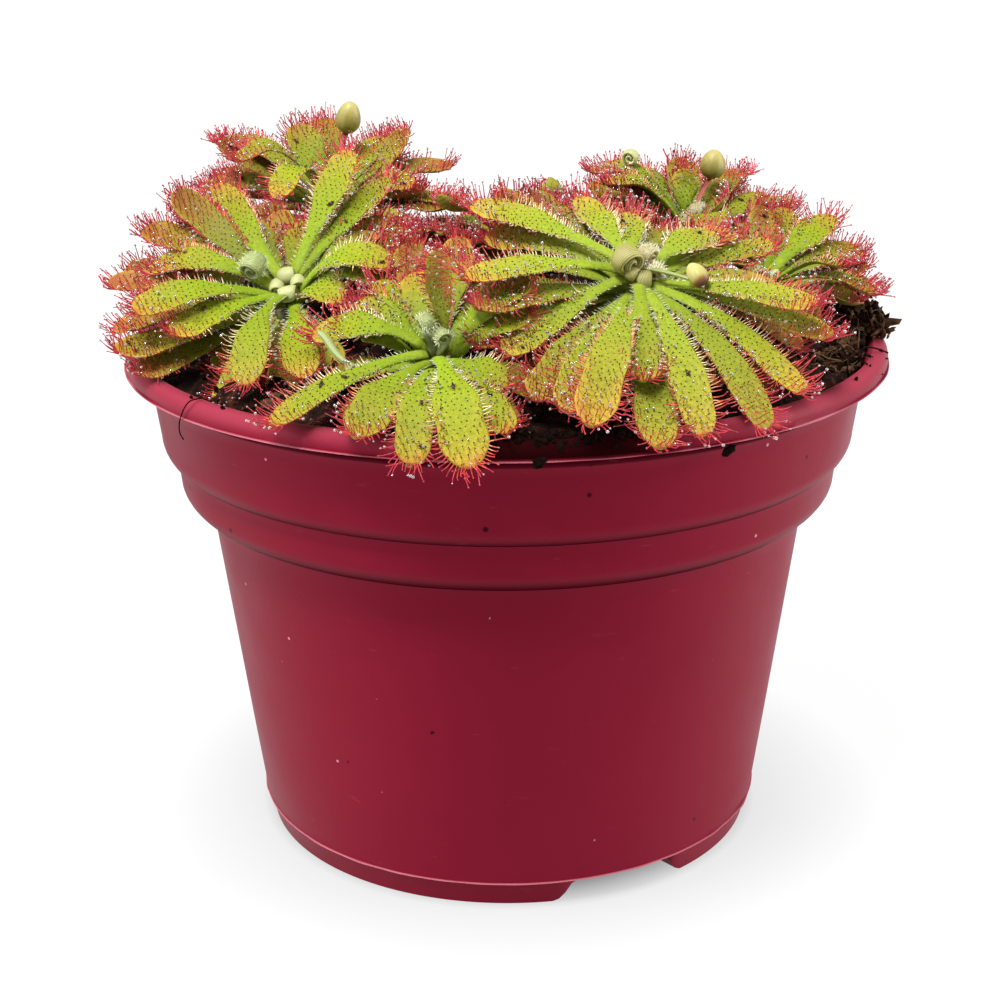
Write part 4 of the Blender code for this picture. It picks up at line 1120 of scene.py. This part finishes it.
def add_fibres(crumbs, finishes, rng):
    """Fine roots and fibres on the peat, thickest on the bank, and one that hangs over the lip."""
    cord(crumbs, smooth_course(ROOT_HAIR, 30), ROOT_HAIR_RADIUS, 6)
    share = np.linspace(0.0, 1.0, FIBRE_STATIONS)
    for number in range(FIBRE_COUNT + BANK_FIBRE_COUNT):
        on_bank = number >= FIBRE_COUNT
        radius = 41.0 * math.sqrt(rng.uniform())
        angle = rng.uniform(0.0, 2.0 * math.pi)
        if on_bank:
            radius = rng.uniform(*BANK_FIBRE_PLACES)
            angle = math.radians(rng.uniform(*BANK_ANGLES))
        heading = rng.uniform(0.0, 2.0 * math.pi)
        length = rng.uniform(*FIBRE_LENGTHS)
        turning = rng.uniform(-1.2, 1.2)
        lift = rng.uniform(0.1, 0.8)
        course = heading + turning * share
        x = radius * math.cos(angle) + np.cumsum(np.cos(course)) * length / FIBRE_STATIONS
        y = radius * math.sin(angle) + np.cumsum(np.sin(course)) * length / FIBRE_STATIONS
        reached = np.hypot(x, y)
        if reached.max() > (BANK_FIBRE_REACH if on_bank else FIBRE_REACH):
            continue
        ground = [bank_top(r, math.atan2(b, a)) if r > 41.9 else rough_height(a, b)
                  for r, a, b in zip(reached, x, y)]
        z = np.array(ground) + lift * np.sin(math.pi * share) + 0.05
        thick = rng.uniform(*FIBRE_RADII)
        cord(crumbs, np.stack([x, y, z], axis=-1), thick, 4, finish=int(rng.integers(*finishes)))


def build_crumbs(materials):
    """What lies loose on the peat and its bank, and what is spilt on the lip, in front partly as painted
    shade.
    """
    rng = np.random.default_rng(SEED + 50)
    crumbs = Shape()
    finishes = (0, len(materials))
    add_loose_crumbs(crumbs, finishes, rng)
    add_clods(crumbs, (1, len(materials)), rng)
    add_spill_and_shade_crumbs(crumbs, rng)
    add_fibres(crumbs, finishes, rng)
    crumbs.make("peat_crumbs", "dark_peat", *materials).data.shade_flat()


class Paint:
    """A material in the making, with short ways to add its nodes. Lengths in it are in metres."""

    def __init__(self, name, **settings):
        """settings are inputs of the shader, with _ for each space in their names."""
        self.material = bpy.data.materials.new(name)
        self.material.use_nodes = True
        self.shader = self.material.node_tree.nodes["Principled BSDF"]
        self.set(**settings)

    def set(self, **settings):
        for key, value in settings.items():
            self.join(value, self.shader.inputs[key.replace("_", " ")])

    def join(self, value, socket):
        """Link an output to a socket, or set the socket to a number, a vector or a colour."""
        if isinstance(value, bpy.types.NodeSocket):
            self.material.node_tree.links.new(value, socket)
        elif isinstance(value, tuple) and len(socket.default_value) == 4:
            socket.default_value = (*value, 1.0)
        else:
            socket.default_value = value

    def node(self, kind, output, inputs, **settings):
        """Add a node with its inputs by name or number, and return one of its outputs."""
        made = self.material.node_tree.nodes.new("ShaderNode" + kind)
        for key, value in settings.items():
            setattr(made, key, value)
        for key, value in inputs.items():
            self.join(value, made.inputs[key])
        return made.outputs[output]

    def attribute(self, name):
        return self.node("Attribute", "Fac", {}, attribute_name=name)

    def place(self):
        return self.node("TexCoord", "Object", {})

    def part(self, vector, axis):
        return self.node("SeparateXYZ", axis, {"Vector": vector})

    def noise(self, scale, detail=3.0, stretch=(1.0, 1.0, 1.0)):
        """Noise over the object's own place. scale is in cycles a metre."""
        vector = self.node("Mapping", "Vector", {"Vector": self.place(), "Scale": stretch})
        return self.node("TexNoise", "Fac", {"Vector": vector, "Scale": scale, "Detail": detail})

    def cells(self, scale):
        return self.node("TexVoronoi", "Distance", {"Vector": self.place(), "Scale": scale})

    def maths(self, operation, *values):
        return self.node("Math", "Value", dict(enumerate(values)), operation=operation)

    def times(self, first, second):
        return self.maths("MULTIPLY", first, second)

    def plus(self, first, second):
        return self.maths("ADD", first, second)

    def away(self, value, middle):
        """How far a value is from a middle one, to either side."""
        return self.maths("ABSOLUTE", self.maths("SUBTRACT", value, middle))

    def wander(self, value, patches, reach):
        """A value that strays by half its reach to either side, in patches."""
        return self.plus(value, self.times(self.maths("SUBTRACT", patches, 0.5), reach))

    def span(self, value, low, high):
        """0 below low, 1 above high, and even between them."""
        return self.node("MapRange", "Result", {"Value": value, "From Min": low, "From Max": high})

    def mix(self, share, first, second):
        return self.node("Mix", "Result", {"Factor": share, "A": first, "B": second}, data_type="RGBA")

    def ramp(self, value, *stops):
        """A run of colours, each at its place from 0 to 1."""
        output = self.node("ValToRGB", "Color", {"Fac": value})
        elements = output.node.color_ramp.elements
        while len(elements) < len(stops):
            elements.new(0.5)
        for element, (place, colour) in zip(elements, stops):
            element.position = place
            element.color = (*colour, 1.0)
        return output

    def bump(self, height, strength, distance):
        inputs = {"Height": height, "Strength": strength, "Distance": distance}
        self.set(Normal=self.node("Bump", "Normal", inputs))

    def mottle(self, colour, scale):
        """Let a colour wander a little to both sides of itself."""
        darker = tuple(part * 0.7 for part in colour)
        lighter = tuple(min(part * 1.3, 1.0) for part in colour)
        patches = self.span(self.noise(scale, 2.0), 0.35, 0.65)
        self.set(Base_Color=self.mix(patches, darker, lighter))


def blade_material():
    """Green blades that turn yellow, then red, towards the end, and more so when old."""
    paint = Paint("sundew_blade", Roughness=0.52, Subsurface_Weight=0.25, Subsurface_Scale=GLOW_DEPTH,
                  Subsurface_Radius=(0.9, 1.0, 0.2), Specular_IOR_Level=0.12)
    along = paint.attribute("along")
    edge = paint.maths("POWER", paint.maths("ABSOLUTE", paint.attribute("across")), 3.0)
    patchy = paint.noise(420.0, 4.0)
    wander = paint.wander(along, patchy, 0.22)
    fresh = paint.ramp(wander, (0.0, (0.31, 0.40, 0.03)), (0.2, (0.24, 0.36, 0.006)),
                       (0.5, (0.26, 0.34, 0.006)), (0.8, (0.33, 0.335, 0.006)), (0.95, (0.52, 0.37, 0.03)),
                       (1.0, (0.58, 0.19, 0.03)))
    ripe = paint.ramp(wander, (0.0, (0.24, 0.28, 0.02)), (0.35, (0.25, 0.23, 0.025)),
                      (0.6, (0.29, 0.20, 0.035)), (0.85, (0.36, 0.14, 0.035)), (1.0, (0.42, 0.06, 0.03)))
    age = paint.span(paint.wander(paint.attribute("flush"), patchy, 0.5), 0.3, 0.9)
    colour = paint.mix(age, fresh, ripe)
    rim = paint.times(edge, paint.span(along, 0.55, 0.9))
    colour = paint.mix(paint.times(rim, 0.6), colour, (0.56, 0.36, 0.05))
    colour = paint.mix(paint.times(paint.attribute("tone"), 0.45), colour, (0.13, 0.18, 0.006))
    colour = paint.mix(paint.attribute("pale"), colour, (0.66, 0.60, 0.16))
    underside = paint.mix(age, (0.20, 0.24, 0.03), (0.26, 0.15, 0.04))
    colour = paint.mix(paint.times(paint.attribute("under"), 0.7), colour, underside)
    fine = paint.noise(2600.0, 5.0)
    colour = paint.mix(paint.span(fine, 0.35, 0.75), paint.mix(0.35, colour, (0.05, 0.09, 0.006)), colour)
    paint.set(Base_Color=colour)
    paint.bump(paint.plus(fine, patchy), 0.5, 0.00025)
    return paint.material


def bud_material():
    """One finish for buds, coils, red stalks and stems, told apart by the look number."""
    paint = Paint("sundew_bud", Roughness=0.5, Subsurface_Weight=0.2, Subsurface_Scale=GLOW_DEPTH,
                  Subsurface_Radius=(1.0, 0.9, 0.3))
    along = paint.attribute("along")
    look = paint.attribute("look")
    stripes = paint.maths("SINE", paint.times(paint.attribute("across"), 34.0))
    line = paint.span(stripes, -0.4, 0.9)
    looks = {
        "cream": paint.mix(paint.noise(900.0), (0.33, 0.36, 0.12), (0.50, 0.50, 0.25)),
        "silver": paint.mix(line, (0.18, 0.24, 0.05), (0.40, 0.43, 0.20)),
        "tan": paint.mix(line, (0.19, 0.19, 0.04), (0.44, 0.37, 0.14)),
        "fuzzy": paint.mix(line, (0.27, 0.23, 0.09), (0.52, 0.44, 0.25)),
        "olive": paint.ramp(along, (0.0, (0.20, 0.08, 0.02)), (0.2, (0.17, 0.15, 0.02)),
                            (0.65, (0.27, 0.23, 0.045)), (1.0, (0.42, 0.36, 0.12))),
        "brown": paint.ramp(along, (0.0, (0.05, 0.015, 0.008)), (0.16, (0.20, 0.07, 0.02)),
                            (0.30, (0.36, 0.33, 0.08)), (1.0, (0.54, 0.49, 0.20))),
        "stalk": paint.ramp(along, (0.0, (0.28, 0.26, 0.04)), (0.6, (0.30, 0.05, 0.025)),
                            (1.0, (0.26, 0.03, 0.02))),
        "bark": paint.mix(paint.noise(1200.0), (0.03, 0.025, 0.008), (0.15, 0.14, 0.03)),
    }
    colour = looks["cream"]
    for name, number in BUD_LOOKS.items():
        if number > 0:
            colour = paint.mix(paint.maths("GREATER_THAN", look, number - 0.5), colour, looks[name])
    paint.set(Base_Color=colour)
    paint.bump(line, 0.25, 0.00012)
    return paint.material


def stalk_materials():
    """Finishes for the pieces of tentacles, in the order of their slot numbers."""
    colours = {"stalk_pale": (0.70, 0.62, 0.34), "stalk_pink": (0.70, 0.32, 0.16),
               "stalk_red": (0.58, 0.080, 0.055), "stalk_crimson": (0.50, 0.042, 0.055),
               "gland_red": (0.36, 0.028, 0.045), "gland_dark": (0.035, 0.006, 0.008),
               "pale_hair": (0.80, 0.84, 0.58)}
    paints = [Paint(name, Roughness=0.3, Specular_IOR_Level=0.4) for name in colours]
    for paint, colour in zip(paints, colours.values()):
        paint.mottle(colour, 900.0)
    return [paint.material for paint in paints]


def drop_material():
    paint = Paint("clear_mucilage", Roughness=0.02, IOR=1.3, Transmission_Weight=0.78, Coat_Weight=1.0,
                  Coat_IOR=1.8)
    cloud = paint.span(paint.noise(500.0, 2.0), 0.4, 0.7)
    paint.set(Base_Color=paint.mix(cloud, (1.0, 1.0, 1.0), (0.93, 0.97, 0.90)))
    return paint.material


def painted_lip_shade(paint, x, y, z):
    """1 where shade is painted on the lip in front, with ragged ends, and 0 elsewhere."""
    ragged = paint.wander(x, paint.noise(500.0, 4.0), PAINTED_SHADE_RAGGEDNESS)
    left, right = (paint.span(ragged, *end) for end in PAINTED_SHADE_ENDS)
    lip_shade = paint.times(paint.times(left, right), paint.span(y, *PAINTED_SHADE_DEPTH))
    return paint.times(lip_shade, paint.span(z, *PAINTED_SHADE_RISE))


def pot_material():
    """Burgundy plastic with specks, scuffs and painted light: highlights painted on the two moulding lines
    and the top of the lip, and shade painted on the lip's front and on faces that look down.
    """
    paint = Paint("moulded_burgundy", Specular_Tint=(1.0, 0.28, 0.36))
    x, y, z = (paint.part(paint.place(), axis) for axis in "XYZ")
    broad = paint.noise(55.0, 3.0)
    colour = paint.mix(broad, (0.160, 0.0045, 0.0170), (0.190, 0.0070, 0.0220))
    for scale, size, share, speck in POT_SPECKS:
        close = paint.span(paint.cells(scale), size, size * 0.6)
        rare = paint.maths("GREATER_THAN", paint.noise(scale * 0.6, 1.0), share)
        colour = paint.mix(paint.times(close, rare), colour, speck)
    # Painted highlight: a pale line is painted along each moulding ridge, as the light that the ridge
    # catches.
    for level in (LIP_FLASH_HEIGHT, FOOT_HEIGHT):
        line = paint.times(paint.span(paint.away(z, level * MM), 0.00018, 0.00006), 0.55)
        colour = paint.mix(line, colour, (0.55, 0.20, 0.24))
    # Painted highlight: the top of the lip is painted lighter, where it catches the light from above.
    colour = paint.mix(paint.times(paint.span(z, 0.0584, 0.0600), 0.36), colour, (0.40, 0.070, 0.105))
    # Painted shade: the front of the lip is painted near black where shade falls on it, and it loses its
    # gloss.
    lip_shade = painted_lip_shade(paint, x, y, z)
    colour = paint.mix(paint.times(lip_shade, 0.97), colour, (0.009, 0.001, 0.001))
    # Painted shade: faces that look down are painted dark, and they lose their gloss below.
    facing = paint.part(paint.node("NewGeometry", "Normal", {}), "Z")
    unshaded_part = paint.span(facing, -0.85, -0.4)
    colour = paint.mix(unshaded_part, (0.045, 0.0012, 0.005), colour)
    scuffs = paint.span(paint.noise(900.0, 6.0, (0.35, 0.35, 1.6)), 0.68, 0.78)
    colour = paint.mix(paint.times(scuffs, 0.22), colour, (0.30, 0.06, 0.08))
    # No gloss where the shade on the front of the lip is painted.
    gloss = paint.plus(paint.times(lip_shade, -POT_GLOSS), POT_GLOSS)
    paint.set(Base_Color=colour, Specular_IOR_Level=paint.times(unshaded_part, gloss),
              Roughness=paint.span(broad, -0.6, 1.9))
    paint.bump(paint.noise(3200.0, 3.0), 0.12, 0.00008)
    return paint.material


def peat_material():
    paint = Paint("damp_peat", Roughness=0.85, Specular_IOR_Level=0.08)
    paint.set(Base_Color=paint.ramp(paint.noise(800.0, 6.0), (0.35, (0.003, 0.0014, 0.001)),
                                    (0.55, (0.016, 0.005, 0.003)), (0.8, (0.09, 0.034, 0.016))))
    paint.bump(paint.noise(2400.0, 6.0), 0.9, 0.0006)
    return paint.material


def floor_material():
    """White paper that glows less under and close to the pot, as if in its soft shadow."""
    paint = Paint("studio_white", Base_Color=(0.045, 0.045, 0.045), Roughness=0.9,
                  Emission_Color=(1.0, 1.0, 1.0))
    distance = paint.node("VectorMath", "Value", {0: paint.place()}, operation="LENGTH")
    glow = WORLD_GLOW
    for low, high, share in FLOOR_GLOWS:
        glow = paint.plus(glow, paint.times(paint.span(distance, low, high), share))
    paint.set(Emission_Strength=glow)
    return paint.material


def crumb_materials():
    colours = {"crumb_black": (0.006, 0.003, 0.002), "crumb_umber": (0.018, 0.008, 0.005),
               "crumb_brown": (0.045, 0.023, 0.012), "crumb_russet": (0.09, 0.048, 0.026)}
    paints = [Paint(name, Roughness=0.95, Specular_IOR_Level=0.02) for name in colours]
    for paint, colour in zip(paints, colours.values()):
        paint.mottle(colour, 1600.0)
        paint.bump(paint.noise(3000.0, 4.0), 0.5, 0.0002)
    return [paint.material for paint in paints]


def set_camera():
    yaw = math.radians(CAMERA_YAW)
    pitch = math.radians(CAMERA_PITCH)
    roll = math.radians(CAMERA_ROLL)
    ahead = Vector((math.sin(yaw) * math.cos(pitch), math.cos(yaw) * math.cos(pitch), -math.sin(pitch)))
    level = Vector((math.cos(yaw), -math.sin(yaw), 0.0))
    above = level.cross(ahead)
    right = math.cos(roll) * level + math.sin(roll) * above
    up = -math.sin(roll) * level + math.cos(roll) * above
    data = bpy.data.cameras.new("camera")
    data.sensor_width = SENSOR_WIDTH
    data.lens = CAMERA_LENS
    data.clip_start = CLIP_START
    camera = placed("camera", data)
    turn = Matrix((right, up, -ahead)).transposed().to_4x4()
    camera.matrix_world = Matrix.Translation(Vector(CAMERA_PLACE) * MM) @ turn
    bpy.context.scene.camera = camera


def area_light(name, place, size, power):
    """A soft box that faces the plant. Lengths are in metres."""
    data = bpy.data.lights.new(name, "AREA")
    data.shape = "RECTANGLE"
    data.size, data.size_y = size
    data.energy = power
    light = placed(name, data)
    light.location = place
    aim = Vector(LIGHT_TARGET) - Vector(place)
    light.rotation_euler = aim.to_track_quat("-Z", "Y").to_euler()


def set_stage():
    """A white floor, a white world and soft boxes above and at both sides."""
    world = bpy.data.worlds.new("studio")
    world.use_nodes = True
    background = world.node_tree.nodes["Background"].inputs
    background["Color"].default_value = (1.0, 1.0, 1.0, 1.0)
    background["Strength"].default_value = WORLD_GLOW
    bpy.context.scene.world = world
    bpy.context.scene.view_settings.view_transform = "Standard"
    for light in LIGHTS:
        area_light(*light)
    far = FLOOR_HALF_SIZE
    mesh = bpy.data.meshes.new("studio_floor")
    corners = ((-far, -far, 0.0), (far, -far, 0.0), (far, far, 0.0), (-far, far, 0.0))
    mesh.from_pydata(corners, [], [(0, 1, 2, 3)])
    mesh.materials.append(floor_material())
    placed("studio_floor", mesh)


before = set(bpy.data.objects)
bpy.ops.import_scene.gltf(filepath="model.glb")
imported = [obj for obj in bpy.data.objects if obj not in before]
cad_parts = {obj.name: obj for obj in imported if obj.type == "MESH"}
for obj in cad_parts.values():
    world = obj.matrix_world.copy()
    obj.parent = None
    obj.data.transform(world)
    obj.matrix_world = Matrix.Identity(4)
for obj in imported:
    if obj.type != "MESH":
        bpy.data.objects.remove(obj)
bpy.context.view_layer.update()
set_camera()
set_stage()
rosette_finishes = {"blade": blade_material(), "bud": bud_material(), "stalks": stalk_materials(),
                    "drop": drop_material()}
for place_number, (rosette_name, rosette_plan) in enumerate(ROSETTES.items()):
    build_rosette(rosette_name, rosette_plan, rosette_finishes, place_number)
build_pot(pot_material())
build_soil(peat_material())
build_crumbs(crumb_materials())
